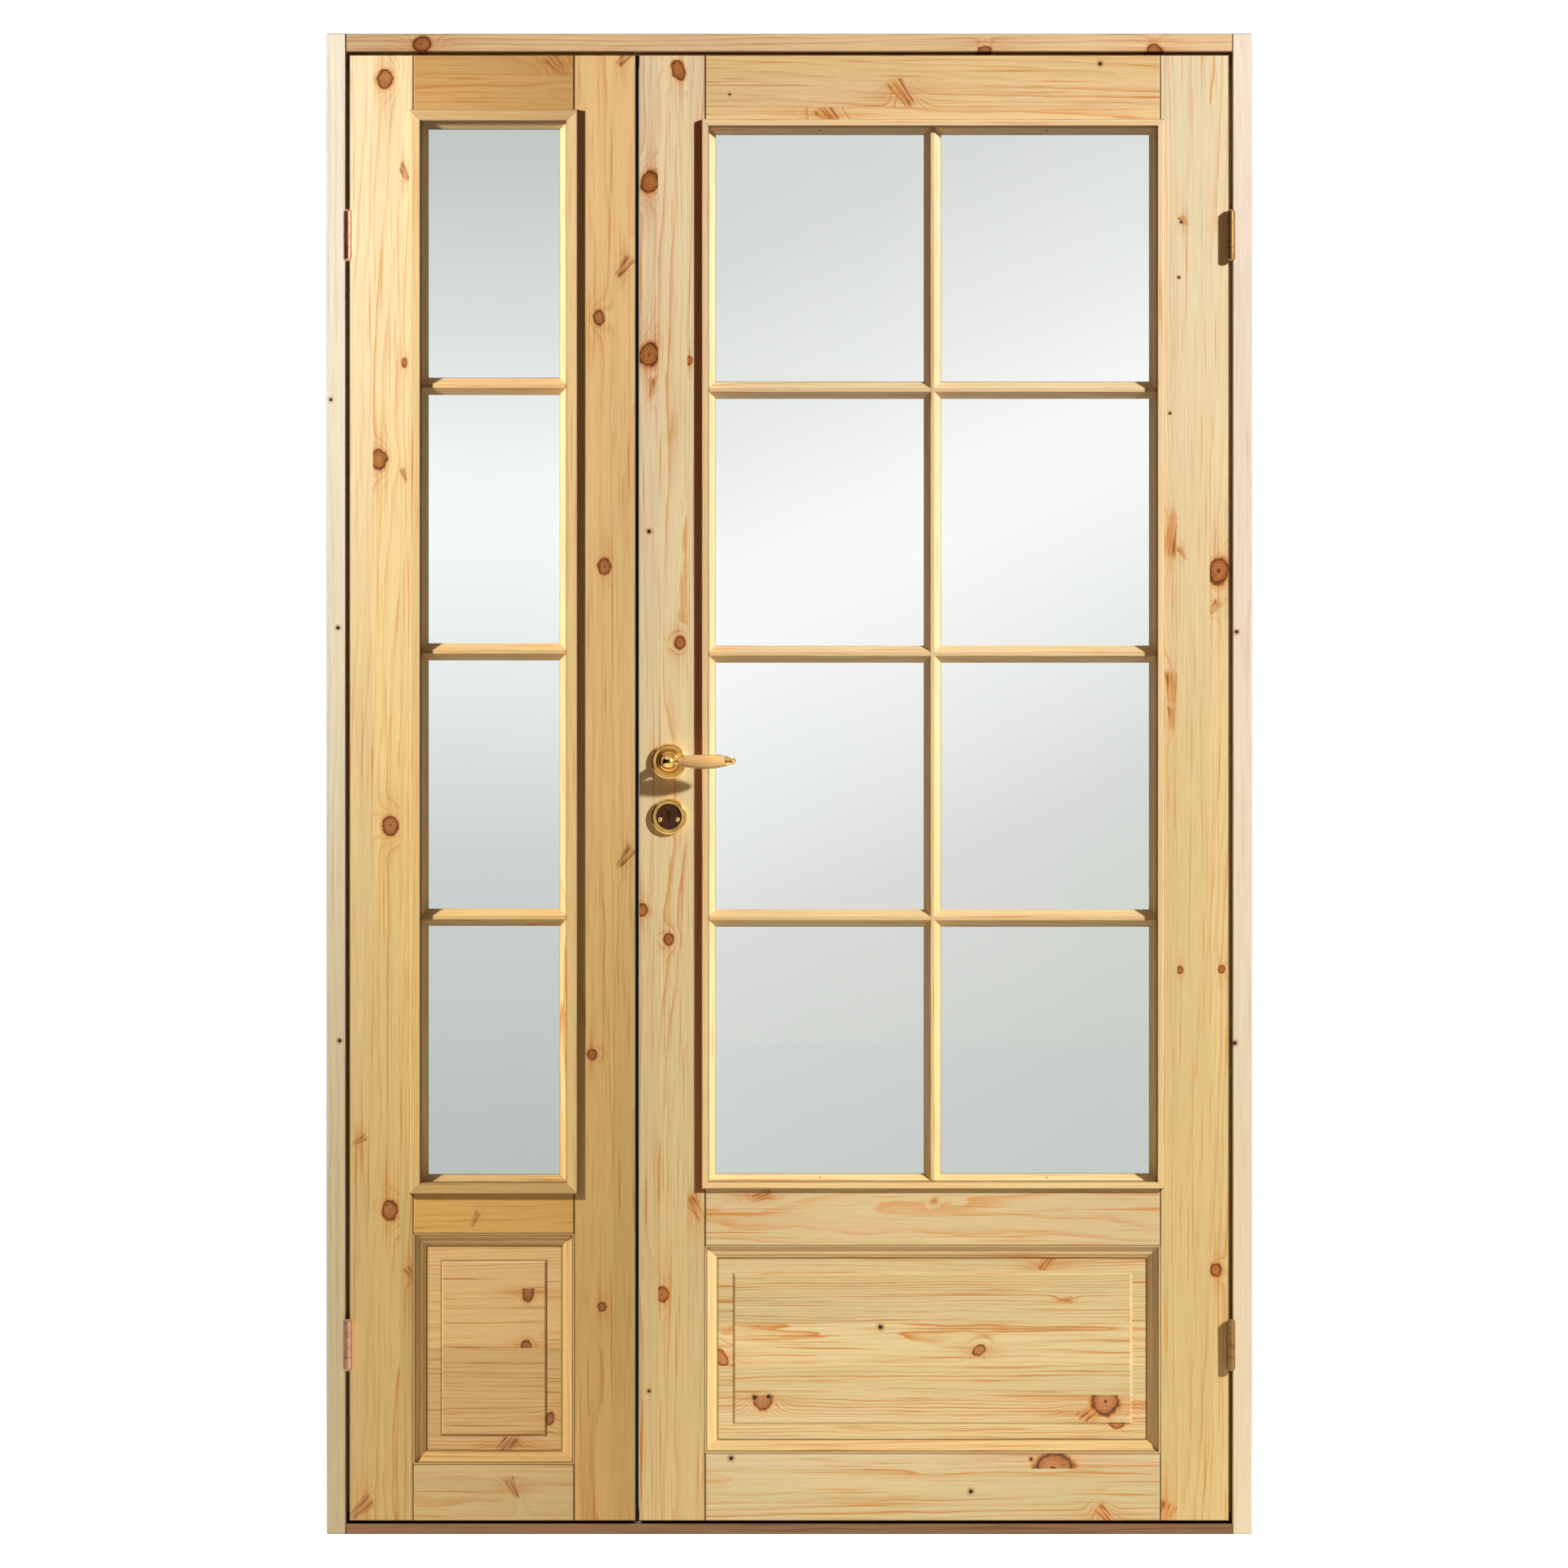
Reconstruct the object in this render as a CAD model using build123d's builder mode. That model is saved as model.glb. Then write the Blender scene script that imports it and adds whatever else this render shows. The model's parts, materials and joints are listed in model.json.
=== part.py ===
from build123d import *
import os
from dataclasses import dataclass

# An unequal double interior door set in knotty pine: a narrow side leaf and a wide active leaf,
# both glazed above a panel, hung in one rebated frame. X runs to the right, Y away from the
# side the doors open to, Z up. The origin is on the floor under the middle of the frame.

# Frame
frame_width = 1288.0
frame_height = 2089.0
frame_depth = 92.0
jamb_face = 27.0
head_face = 25.0
stop_depth = 15.0
threshold_height = 14.0
threshold_stop = 12.0
frame_arris = 1.5
running_gap = 5.0

# Leaves: stiles, rails and the panel's groove
leaf_thickness = 40.0
side_leaf_width = 398.0
side_hinge_stile_width = 88.0
side_meeting_stile_width = 85.0
side_top_rail = 81.0
side_mid_rail = 60.0
side_bottom_rail = 78.0
side_panel_height = 322.0
side_edge_bevel = 3.0
active_lock_stile_width = 91.5
active_hinge_stile_width = 95.0
active_top_rail = 94.5
active_mid_rail = 84.0
active_bottom_rail = 93.5
active_panel_height = 289.5
active_edge_bevel = 2.0
joint_arris = 2.0
joint_line = 0.2

# Panels and the sunk mouldings that hold them
panel_thickness = 13.0
panel_tongue = 10.0
groove_room = 2.0
groove_play = 0.2
moulding_width = 18.0
moulding_lip = 3.0
moulding_quirk = 2.0
moulding_fillet = 2.5
moulding_foot = 2.0
ogee_sag = 1.1
field_margin = 21.0
field_step = 2.5
field_slope = 50.0

# Glazing: one sheet to a leaf, proud beads round it and bars laid on both its faces
glass_thickness = 4.0
glass_edge_gap = 3.0
side_bead_width = 26.0
active_bead_width = 20.0
bead_overlap = 5.0
bead_proud = 9.0
bead_round = 2.5
bead_quirk = 2.0
bead_quirk_width = 1.6
bar_width = 24.0
bar_nose = 5.0
bar_height = 12.0
light_rows = 4

# Butt hinges, two to a leaf
hinge_low = 264.0
hinge_high = 1808.0
hinge_length = 66.0
hinge_middle = 34.0
hinge_tip = 3.0
hinge_tip_radius = 3.2
hinge_stand = 7.0
barrel_radius = 6.0
hinge_pin_radius = 3.0
pin_clearance = 0.05
knuckle_gap = 0.6
knuckle_room = 0.5
plate_thickness = 2.0
plate_depth = 28.0

# Seal in the side leaf's meeting edge
seal_setback = 4.0
seal_width = 6.0
seal_groove = 4.0
seal_gap = 0.5
seal_tip = 0.7

# Lock edge plate, strike plate and bolts
lock_plate_width = 20.0
lock_plate_height = 165.0
lock_plate_thickness = 3.0
bolt_width = 12.0
latch_height = 22.0
deadbolt_height = 30.0
bolt_length = 20.0
bolt_play = 0.3

# Lever handles and key escutcheons
handle_height = 1076.0
handle_setback = 41.5
key_drop = 77.0
rose_radius = 25.0
rose_thickness = 7.0
rose_round = 3.0
rose_groove_outer = 18.0
rose_groove_inner = 11.0
rose_groove_depth = 2.2
neck_radius = 8.0
neck_waist = 6.0
neck_collar = 14.0
neck_sag = 1.0
neck_clearance = 0.1
lever_stand = 48.0
ball_radius = 10.5
ferrule_radius = 5.5
ferrule_end = 13.0
grip_rod_radius = 3.0
grip_end = 79.0
grip_neck_radius = 4.75
grip_belly_radius = 10.0
grip_belly_place = 0.65
grip_end_radius = 6.5
cap_length = 14.0
cap_flange = 2.5
cap_step = 4.0
cap_step_radius = 4.8
cap_ball_radius = 4.2
spindle_side = 8.0
spindle_play = 0.1
spindle_bore_radius = 7.0
spindle_grip = 12.0
insert_radius = 18.0
insert_thickness = 4.5
key_round_radius = 3.5
key_slot_width = 3.6
key_slot_length = 10.0
key_depth = 15.0

# Planes and edges that follow from the sizes above
jamb_outer = frame_width / 2
rebate_x = jamb_outer - jamb_face
stop_x = rebate_x - stop_depth
rebate_top = frame_height - head_face
leaf_front = -frame_depth / 2
leaf_back = leaf_front + leaf_thickness
leaf_middle = (leaf_front + leaf_back) / 2
frame_back = frame_depth / 2
stop_front = leaf_back + running_gap
stop_bottom = threshold_height + threshold_stop
stop_top = rebate_top - stop_depth
leaf_bottom = threshold_height + running_gap
leaf_top = rebate_top - running_gap
leaf_height = leaf_top - leaf_bottom
hinge_y = leaf_front - hinge_stand
hinge_heights = (hinge_low, hinge_high)
glass_depth = (leaf_thickness - glass_thickness) / 2
panel_depth = (leaf_thickness - panel_thickness) / 2
bar_slope = (bar_width - bar_nose) / 2
groove_depth = panel_tongue + groove_room


@dataclass
class Leaf:
    """One leaf's outer edges and the places of its stiles, rails, light and panel."""

    name: str
    left: float
    right: float
    left_stile: float
    right_stile: float
    top_rail: float
    mid_rail: float
    bottom_rail: float
    panel_height: float
    bead_width: float
    bar_columns: int

    def __post_init__(self):
        self.opening_left = self.left + self.left_stile
        self.opening_right = self.right - self.right_stile
        self.middle = (self.opening_left + self.opening_right) / 2
        self.panel_bottom = leaf_bottom + self.bottom_rail
        self.panel_top = self.panel_bottom + self.panel_height
        self.light_bottom = self.panel_top + self.mid_rail
        self.light_top = leaf_top - self.top_rail
        self.bead_reach = self.bead_width - bead_overlap

    def row_heights(self):
        """Heights of the bars that leave panes of equal height between the beads."""
        lowest = self.light_bottom + self.bead_reach - bar_width / 2
        highest = self.light_top - self.bead_reach + bar_width / 2
        step = (highest - lowest) / light_rows
        return [lowest + step * row for row in range(1, light_rows)]


side_left = -rebate_x + running_gap
side_right = side_left + side_leaf_width
side = Leaf("side", side_left, side_right, side_hinge_stile_width, side_meeting_stile_width,
            side_top_rail, side_mid_rail, side_bottom_rail, side_panel_height, side_bead_width, 1)
active = Leaf("active", side_right + running_gap, rebate_x - running_gap, active_lock_stile_width,
              active_hinge_stile_width, active_top_rail, active_mid_rail, active_bottom_rail,
              active_panel_height, active_bead_width, 2)

handle_x = active.left + handle_setback
key_height = handle_height - key_drop

os.makedirs("parts", exist_ok=True)


def save(piece, name):
    """Name a finished piece and write it to its own file."""
    piece.part.label = name
    export_step(piece.part, f"parts/{name}.step")


def board(left, right, bottom, top, front, back, mode=Mode.ADD):
    """A square-edged board between six planes."""
    with Locations(((left + right) / 2, (front + back) / 2, (bottom + top) / 2)):
        Box(right - left, back - front, top - bottom, mode=mode)


def hinge_mortises(wood_face, into_wood):
    """Sink both hinge plates' recesses into an upright face at x = wood_face."""
    deep = wood_face + into_wood * plate_thickness
    for height in hinge_heights:
        board(min(wood_face, deep), max(wood_face, deep), height - hinge_length / 2,
              height + hinge_length / 2, leaf_front, leaf_front + plate_depth, Mode.SUBTRACT)


def stile_plan(inner, outer, bevel):
    """Plan of a stile whose outer edge is drawn in by the bevel at the back."""
    inward = 1 if inner > outer else -1
    with BuildSketch(Plane.XY.offset(leaf_bottom)) as plan:
        with BuildLine():
            Polyline((inner, leaf_front), (outer, leaf_front),
                     (outer + inward * bevel, leaf_back), (inner, leaf_back), close=True)
        make_face()
    return plan.sketch


def panel_groove(left, right, bottom, top):
    """Plough the panel's groove into the piece at hand."""
    board(left, right, bottom, top, leaf_front + panel_depth - groove_play,
          leaf_back - panel_depth + groove_play, Mode.SUBTRACT)


def ring_path(leaf, bottom, top):
    """The rim of an opening in a leaf's front face, from the middle of its foot and round."""
    with BuildLine(Plane.XZ.offset(-leaf_front)) as ring:
        Polyline((leaf.middle, bottom), (leaf.opening_right, bottom), (leaf.opening_right, top),
                 (leaf.opening_left, top), (leaf.opening_left, bottom), (leaf.middle, bottom))
    return ring.wire()


def section_plane(leaf, bottom):
    """Section at the foot of an opening: x into the opening, y out of the leaf's face."""
    return Plane(origin=(leaf.middle, leaf_front, bottom), x_dir=(0, 0, 1), z_dir=(1, 0, 0))


def mitre_cuts(leaf, bottom, top, reach):
    """Hairline saw cuts along the four mitres of a ring of moulding."""
    with BuildSketch(Plane.XZ.offset(-leaf_middle)) as cuts:
        for corner, turn in (((leaf.opening_right, top), 45), ((leaf.opening_left, bottom), 45),
                             ((leaf.opening_left, top), -45), ((leaf.opening_right, bottom), -45)):
            with Locations(corner):
                Rectangle(4 * reach, joint_line, rotation=turn)
    return cuts.sketch


def bar_plan(start, end, across, upright=False, shy=0.0):
    """Outline of a bar seen from the front, its ends coped to a blunt point as wide as its nose.

    The bar runs from glass line to glass line, and its points reach on over the sloping sides
    of what it meets. shy draws both points back by a hairline.
    """
    half = bar_width / 2
    nose = bar_nose / 2
    reach = bar_slope - shy
    low = start + shy
    high = end - shy
    corners = [(low, across - half), (high, across - half), (end + reach, across - nose),
               (end + reach, across + nose), (high, across + half), (low, across + half),
               (start - reach, across + nose), (start - reach, across - nose)]
    if upright:
        corners = [(place, along) for along, place in corners]
    with BuildSketch(Plane.XZ.offset(-leaf_middle)) as plan:
        Polygon(*corners, align=None)
    return plan.sketch


def cross_bar_plans(leaf, shy=0.0):
    """Outlines of all the level bars of a leaf, cut through where an upright bar passes."""
    low = leaf.opening_left + leaf.bead_reach
    high = leaf.opening_right - leaf.bead_reach
    spans = [(low, high)]
    if leaf.bar_columns == 2:
        spans = [(low, leaf.middle - bar_width / 2), (leaf.middle + bar_width / 2, high)]
    return [bar_plan(start, end, height, shy=shy) for height in leaf.row_heights()
            for start, end in spans]


def upright_bar_plan(leaf, shy=0.0):
    """Outline of the upright bar in the middle of a leaf."""
    return bar_plan(leaf.light_bottom + leaf.bead_reach, leaf.light_top - leaf.bead_reach,
                    leaf.middle, upright=True, shy=shy)


def bar_section(plane):
    """Section of a bar on the front of the glass: x across the bar, y out of the leaf's face."""
    with BuildSketch(plane) as section:
        Polygon((-bar_width / 2, -glass_depth), (bar_width / 2, -glass_depth),
                (bar_nose / 2, bar_height - glass_depth),
                (-bar_nose / 2, bar_height - glass_depth), align=None)
    return section.sketch


# Jambs: full height, with the stop between the threshold and the head's stop
for jamb_name, hand in (("left_jamb", -1), ("right_jamb", 1)):
    with BuildPart() as jamb:
        board(min(hand * jamb_outer, hand * rebate_x), max(hand * jamb_outer, hand * rebate_x),
              0, frame_height, leaf_front, frame_back)
        chamfer(jamb.edges().filter_by(Axis.Z).group_by(Axis.Y)[0], frame_arris)
        board(min(hand * rebate_x, hand * stop_x), max(hand * rebate_x, hand * stop_x),
              stop_bottom, stop_top, stop_front, frame_back)
        hinge_mortises(hand * rebate_x, hand)
    save(jamb, jamb_name)

# Head: between the jambs, with its stop hanging behind the leaves
with BuildPart() as head:
    board(-rebate_x, rebate_x, rebate_top, frame_height, leaf_front, frame_back)
    chamfer(head.edges().filter_by(Axis.X).group_by(Axis.Y)[0], frame_arris)
    board(-rebate_x, rebate_x, stop_top, rebate_top, stop_front, frame_back)
save(head, "head")

# Threshold: low in front under the leaves, with a raised stop behind them
with BuildPart() as threshold:
    board(-rebate_x, rebate_x, 0, threshold_height, leaf_front, frame_back)
    chamfer(threshold.edges().filter_by(Axis.X).group_by(Axis.Y)[0].sort_by(Axis.Z)[-1], frame_arris)
    board(-rebate_x, rebate_x, threshold_height, stop_bottom, stop_front, frame_back)
save(threshold, "threshold")

# Side leaf's hinge stile
with BuildPart() as side_hinge_stile:
    extrude(stile_plan(side.opening_left, side.left, 0), amount=leaf_height)
    panel_groove(side.opening_left - groove_depth, side.opening_left,
                 side.panel_bottom - groove_depth, side.panel_top + groove_depth)
    hinge_mortises(side.left, 1)
save(side_hinge_stile, "side_hinge_stile")

# Side leaf's meeting stile, bevelled, with the seal's groove and the strike plate's recess
strike_face = side.right - side_edge_bevel
lock_plate_bottom = (handle_height + key_height - lock_plate_height) / 2
lock_plate_top = lock_plate_bottom + lock_plate_height
lock_plate_front = leaf_middle - lock_plate_width / 2
lock_plate_back = leaf_middle + lock_plate_width / 2
seal_front = leaf_front + seal_setback
seal_root = side.right - side_edge_bevel - seal_groove
with BuildPart() as side_meeting_stile:
    extrude(stile_plan(side.opening_right, side.right, side_edge_bevel), amount=leaf_height)
    panel_groove(side.opening_right, side.opening_right + groove_depth,
                 side.panel_bottom - groove_depth, side.panel_top + groove_depth)
    board(seal_root, side.right, leaf_bottom, leaf_top, seal_front, seal_front + seal_width,
          Mode.SUBTRACT)
    board(strike_face - lock_plate_thickness, side.right, lock_plate_bottom, lock_plate_top,
          lock_plate_front, lock_plate_back, Mode.SUBTRACT)
    for bolt_middle, bolt_height in ((handle_height, latch_height), (key_height, deadbolt_height)):
        board(strike_face - lock_plate_thickness - bolt_length, strike_face,
              bolt_middle - bolt_height / 2, bolt_middle + bolt_height / 2,
              leaf_middle - bolt_width / 2, leaf_middle + bolt_width / 2, Mode.SUBTRACT)
save(side_meeting_stile, "side_meeting_stile")

# Seal: a soft strip along the meeting edge that ends just short of the active leaf
with BuildPart() as side_meeting_seal:
    board(seal_root, active.left - seal_gap, leaf_bottom, leaf_top, seal_front,
          seal_front + seal_width)
    chamfer(side_meeting_seal.edges().filter_by(Axis.Z).group_by(Axis.X)[-1].sort_by(Axis.Y)[-1],
            seal_tip)
save(side_meeting_seal, "side_meeting_seal")

# Strike plate: flush in the side leaf's edge, open where the bolts would enter
with BuildPart() as strike_plate:
    board(strike_face - lock_plate_thickness, strike_face, lock_plate_bottom, lock_plate_top,
          lock_plate_front, lock_plate_back)
    for bolt_middle, bolt_height in ((handle_height, latch_height), (key_height, deadbolt_height)):
        board(strike_face - lock_plate_thickness, strike_face,
              bolt_middle - bolt_height / 2, bolt_middle + bolt_height / 2,
              leaf_middle - bolt_width / 2, leaf_middle + bolt_width / 2, Mode.SUBTRACT)
save(strike_plate, "strike_plate")

# Active leaf's hinge stile
with BuildPart() as active_hinge_stile:
    extrude(stile_plan(active.opening_right, active.right, 0), amount=leaf_height)
    panel_groove(active.opening_right, active.opening_right + groove_depth,
                 active.panel_bottom - groove_depth, active.panel_top + groove_depth)
    hinge_mortises(active.right, -1)
save(active_hinge_stile, "active_hinge_stile")

# Active leaf's lock stile, bored for the spindle and the key and recessed for the lock's plate
lock_face = active.left + active_edge_bevel
with BuildSketch(Plane.XZ) as keyhole:
    with Locations((handle_x, key_height + key_slot_length / 2)):
        Circle(key_round_radius)
    with Locations((handle_x, key_height)):
        Rectangle(key_slot_width, key_slot_length)
with BuildPart() as active_lock_stile:
    extrude(stile_plan(active.opening_left, active.left, active_edge_bevel), amount=leaf_height)
    panel_groove(active.opening_left - groove_depth, active.opening_left,
                 active.panel_bottom - groove_depth, active.panel_top + groove_depth)
    board(active.left, lock_face + lock_plate_thickness, lock_plate_bottom, lock_plate_top,
          lock_plate_front, lock_plate_back, Mode.SUBTRACT)
    for bolt_middle, bolt_height in ((handle_height, latch_height), (key_height, deadbolt_height)):
        board(lock_face, lock_face + bolt_length,
              bolt_middle - bolt_height / 2, bolt_middle + bolt_height / 2,
              leaf_middle - bolt_width / 2, leaf_middle + bolt_width / 2, Mode.SUBTRACT)
    with Locations(Location((handle_x, leaf_middle, handle_height), (90, 0, 0))):
        Cylinder(spindle_bore_radius, leaf_thickness, mode=Mode.SUBTRACT)
    extrude(keyhole.sketch.moved(Location((0, leaf_front + key_depth, 0))), amount=key_depth,
            mode=Mode.SUBTRACT)
    extrude(keyhole.sketch.moved(Location((0, leaf_back, 0))), amount=key_depth,
            mode=Mode.SUBTRACT)
save(active_lock_stile, "active_lock_stile")

# Lock's edge plate and the two bolts, drawn back flush with it
with BuildPart() as lock_forend:
    board(lock_face, lock_face + lock_plate_thickness, lock_plate_bottom, lock_plate_top,
          lock_plate_front, lock_plate_back)
    for bolt_middle, bolt_height in ((handle_height, latch_height), (key_height, deadbolt_height)):
        board(lock_face, lock_face + lock_plate_thickness,
              bolt_middle - bolt_height / 2, bolt_middle + bolt_height / 2,
              leaf_middle - bolt_width / 2, leaf_middle + bolt_width / 2, Mode.SUBTRACT)
save(lock_forend, "lock_forend")

with BuildPart() as lock_bolts:
    for bolt_middle, bolt_height in ((handle_height, latch_height), (key_height, deadbolt_height)):
        board(lock_face, lock_face + bolt_length - bolt_play,
              bolt_middle - bolt_height / 2 + bolt_play, bolt_middle + bolt_height / 2 - bolt_play,
              leaf_middle - bolt_width / 2 + bolt_play, leaf_middle + bolt_width / 2 - bolt_play)
save(lock_bolts, "lock_bolts")

# Rails, panel, glass, beads and mouldings, made alike for both leaves
for leaf in (side, active):
    with BuildPart() as top_rail:
        board(leaf.opening_left, leaf.opening_right, leaf.light_top, leaf_top, leaf_front, leaf_back)
        chamfer(top_rail.edges().filter_by(Axis.Z), joint_arris)
    save(top_rail, f"{leaf.name}_top_rail")

    with BuildPart() as mid_rail:
        board(leaf.opening_left, leaf.opening_right, leaf.panel_top, leaf.light_bottom,
              leaf_front, leaf_back)
        chamfer(mid_rail.edges().filter_by(Axis.Z), joint_arris)
        panel_groove(leaf.opening_left, leaf.opening_right,
                     leaf.panel_top, leaf.panel_top + groove_depth)
    save(mid_rail, f"{leaf.name}_mid_rail")

    with BuildPart() as bottom_rail:
        board(leaf.opening_left, leaf.opening_right, leaf_bottom, leaf.panel_bottom,
              leaf_front, leaf_back)
        chamfer(bottom_rail.edges().filter_by(Axis.Z), joint_arris)
        panel_groove(leaf.opening_left, leaf.opening_right,
                     leaf.panel_bottom - groove_depth, leaf.panel_bottom)
    save(bottom_rail, f"{leaf.name}_bottom_rail")

    # Panel: its edges in the grooves, with a raised field on both faces
    panel_middle = (leaf.panel_bottom + leaf.panel_top) / 2
    field_width = leaf.opening_right - leaf.opening_left - 2 * (moulding_width + field_margin)
    field_height = leaf.panel_height - 2 * (moulding_width + field_margin)
    with BuildPart() as panel:
        board(leaf.opening_left - panel_tongue, leaf.opening_right + panel_tongue,
              leaf.panel_bottom - panel_tongue, leaf.panel_top + panel_tongue,
              leaf_front + panel_depth, leaf_back - panel_depth)
        with BuildSketch(Plane.XZ.offset(-leaf_front - panel_depth)):
            with Locations((leaf.middle, panel_middle)):
                Rectangle(field_width, field_height)
        extrude(amount=field_step, taper=field_slope)
        mirror(about=Plane.XZ.offset(-leaf_middle))
    save(panel, f"{leaf.name}_panel")

    # Panel mouldings: a sunk ogee, mitred round the panel on both faces
    with BuildSketch(section_plane(leaf, leaf.panel_bottom)) as ogee:
        ogee_head = (moulding_lip, -moulding_quirk)
        ogee_foot = (moulding_width - moulding_fillet, moulding_foot - panel_depth)
        ogee_middle = ((ogee_head[0] + ogee_foot[0]) / 2, (ogee_head[1] + ogee_foot[1]) / 2)
        with BuildLine():
            Polyline(ogee_head, (moulding_lip, 0), (0, 0), (0, -panel_depth),
                     (moulding_width, -panel_depth), (moulding_width, ogee_foot[1]), ogee_foot)
            SagittaArc(ogee_foot, ogee_middle, -ogee_sag)
            SagittaArc(ogee_middle, ogee_head, ogee_sag)
        make_face()
    with BuildPart() as panel_mouldings:
        sweep(ogee.sketch, path=ring_path(leaf, leaf.panel_bottom, leaf.panel_top),
              transition=Transition.RIGHT)
        extrude(mitre_cuts(leaf, leaf.panel_bottom, leaf.panel_top, moulding_width),
                amount=leaf_thickness, both=True, mode=Mode.SUBTRACT)
        mirror(about=Plane.XZ.offset(-leaf_middle))
    save(panel_mouldings, f"{leaf.name}_panel_mouldings")

    with BuildPart() as glass:
        board(leaf.opening_left + glass_edge_gap, leaf.opening_right - glass_edge_gap,
              leaf.light_bottom + glass_edge_gap, leaf.light_top - glass_edge_gap,
              leaf_front + glass_depth, leaf_back - glass_depth)
    save(glass, f"{leaf.name}_glass")

    # Glazing beads: lapped on the stiles and rails, notched where the bars' points run in
    with BuildSketch(section_plane(leaf, leaf.light_bottom)) as bead:
        slope_head = (leaf.bead_reach - bar_slope, bar_height - glass_depth)
        face_end = slope_head[0] - bead_quirk_width
        outer_edge = (-bead_overlap, bead_proud - bead_round)
        face_start = (bead_round - bead_overlap, bead_proud)
        with BuildLine():
            Polyline((0, 0), (0, -glass_depth), (leaf.bead_reach, -glass_depth), slope_head,
                     (slope_head[0], bead_proud - bead_quirk), (face_end, bead_proud - bead_quirk),
                     (face_end, bead_proud), face_start)
            RadiusArc(face_start, outer_edge, -bead_round)
            Polyline(outer_edge, (-bead_overlap, 0), (0, 0))
        make_face()
    with BuildPart() as glazing_beads:
        sweep(bead.sketch, path=ring_path(leaf, leaf.light_bottom, leaf.light_top),
              transition=Transition.RIGHT)
        extrude(mitre_cuts(leaf, leaf.light_bottom, leaf.light_top, leaf.bead_width),
                amount=leaf_thickness, both=True, mode=Mode.SUBTRACT)
        notches = cross_bar_plans(leaf)
        if leaf.bar_columns == 2:
            notches.append(upright_bar_plan(leaf))
        for notch in notches:
            extrude(notch, amount=leaf_thickness / 2 - glass_depth + bar_height, mode=Mode.SUBTRACT)
        mirror(about=Plane.XZ.offset(-leaf_middle))
    save(glazing_beads, f"{leaf.name}_glazing_beads")

    # Level bars on both faces of the glass
    with BuildPart() as cross_bars:
        for height in leaf.row_heights():
            start = Plane(origin=(leaf.opening_left, leaf_front, height), x_dir=(0, 0, 1),
                          z_dir=(1, 0, 0))
            extrude(bar_section(start), amount=leaf.opening_right - leaf.opening_left)
        extrude([plan.face() for plan in cross_bar_plans(leaf, joint_line)],
                amount=leaf_thickness, both=True, mode=Mode.INTERSECT)
        mirror(about=Plane.XZ.offset(-leaf_middle))
    save(cross_bars, f"{leaf.name}_cross_bars")

# Upright bars of the active leaf, notched for the level bars that meet them
with BuildPart() as active_upright_bars:
    foot = Plane(origin=(active.middle, leaf_front, active.light_bottom), x_dir=(-1, 0, 0),
                 z_dir=(0, 0, 1))
    extrude(bar_section(foot), amount=active.light_top - active.light_bottom)
    extrude(upright_bar_plan(active, joint_line), amount=leaf_thickness, both=True,
            mode=Mode.INTERSECT)
    for notch in cross_bar_plans(active):
        extrude(notch, amount=leaf_thickness, both=True, mode=Mode.SUBTRACT)
    mirror(about=Plane.XZ.offset(-leaf_middle))
save(active_upright_bars, "active_upright_bars")

# Hinges: the frame's half carries the pin and the outer knuckles, the leaf's half the middle one
end_knuckle = (hinge_length - hinge_middle) / 2
knuckle_clear = barrel_radius + knuckle_room
for leaf, hand in ((side, -1), (active, 1)):
    axis_x = hand * (rebate_x - running_gap / 2)
    leaf_edge = axis_x - hand * running_gap / 2
    jamb_edge = axis_x + hand * running_gap / 2
    jamb_deep = jamb_edge + hand * plate_thickness
    leaf_deep = leaf_edge - hand * plate_thickness

    with BuildPart() as frame_halves:
        for height in hinge_heights:
            board(min(jamb_edge, jamb_deep), max(jamb_edge, jamb_deep), height - hinge_length / 2,
                  height + hinge_length / 2, hinge_y, leaf_front + plate_depth)
            with Locations((axis_x, hinge_y, height)):
                Cylinder(knuckle_clear, hinge_middle, mode=Mode.SUBTRACT)
            knuckle_middle = (hinge_length - end_knuckle) / 2
            with Locations((axis_x, hinge_y, height - knuckle_middle),
                           (axis_x, hinge_y, height + knuckle_middle)):
                Cylinder(barrel_radius, end_knuckle)
            with Locations((axis_x, hinge_y, height)):
                Cylinder(hinge_pin_radius, hinge_length)
            with Locations((axis_x, hinge_y, height + hinge_length / 2)):
                Cone(barrel_radius, hinge_tip_radius, hinge_tip,
                     align=(Align.CENTER, Align.CENTER, Align.MIN))
            with Locations((axis_x, hinge_y, height - hinge_length / 2)):
                Cone(hinge_tip_radius, barrel_radius, hinge_tip,
                     align=(Align.CENTER, Align.CENTER, Align.MAX))
    save(frame_halves, f"{leaf.name}_hinge_frame_halves")

    with BuildPart() as leaf_halves:
        for height in hinge_heights:
            board(min(leaf_edge, leaf_deep), max(leaf_edge, leaf_deep), height - hinge_length / 2,
                  height + hinge_length / 2, hinge_y, leaf_front + plate_depth)
            with Locations((axis_x, hinge_y, height)):
                Cylinder(knuckle_clear, hinge_length, mode=Mode.SUBTRACT)
                Cylinder(barrel_radius, hinge_middle - 2 * knuckle_gap)
            board(min(leaf_edge, leaf_deep), max(leaf_edge, leaf_deep),
                  height - hinge_middle / 2 + knuckle_gap, height + hinge_middle / 2 - knuckle_gap,
                  hinge_y, leaf_front)
            with Locations((axis_x, hinge_y, height)):
                Cylinder(hinge_pin_radius + pin_clearance, hinge_length, mode=Mode.SUBTRACT)
    save(leaf_halves, f"{leaf.name}_hinge_leaf_halves")

# Roses and escutcheon rings: turned discs on both faces of the lock stile
front_handle = Plane(origin=(handle_x, leaf_front, handle_height), x_dir=(1, 0, 0), z_dir=(0, 0, 1))
front_key = Plane(origin=(handle_x, leaf_front, key_height), x_dir=(1, 0, 0), z_dir=(0, 0, 1))


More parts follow.
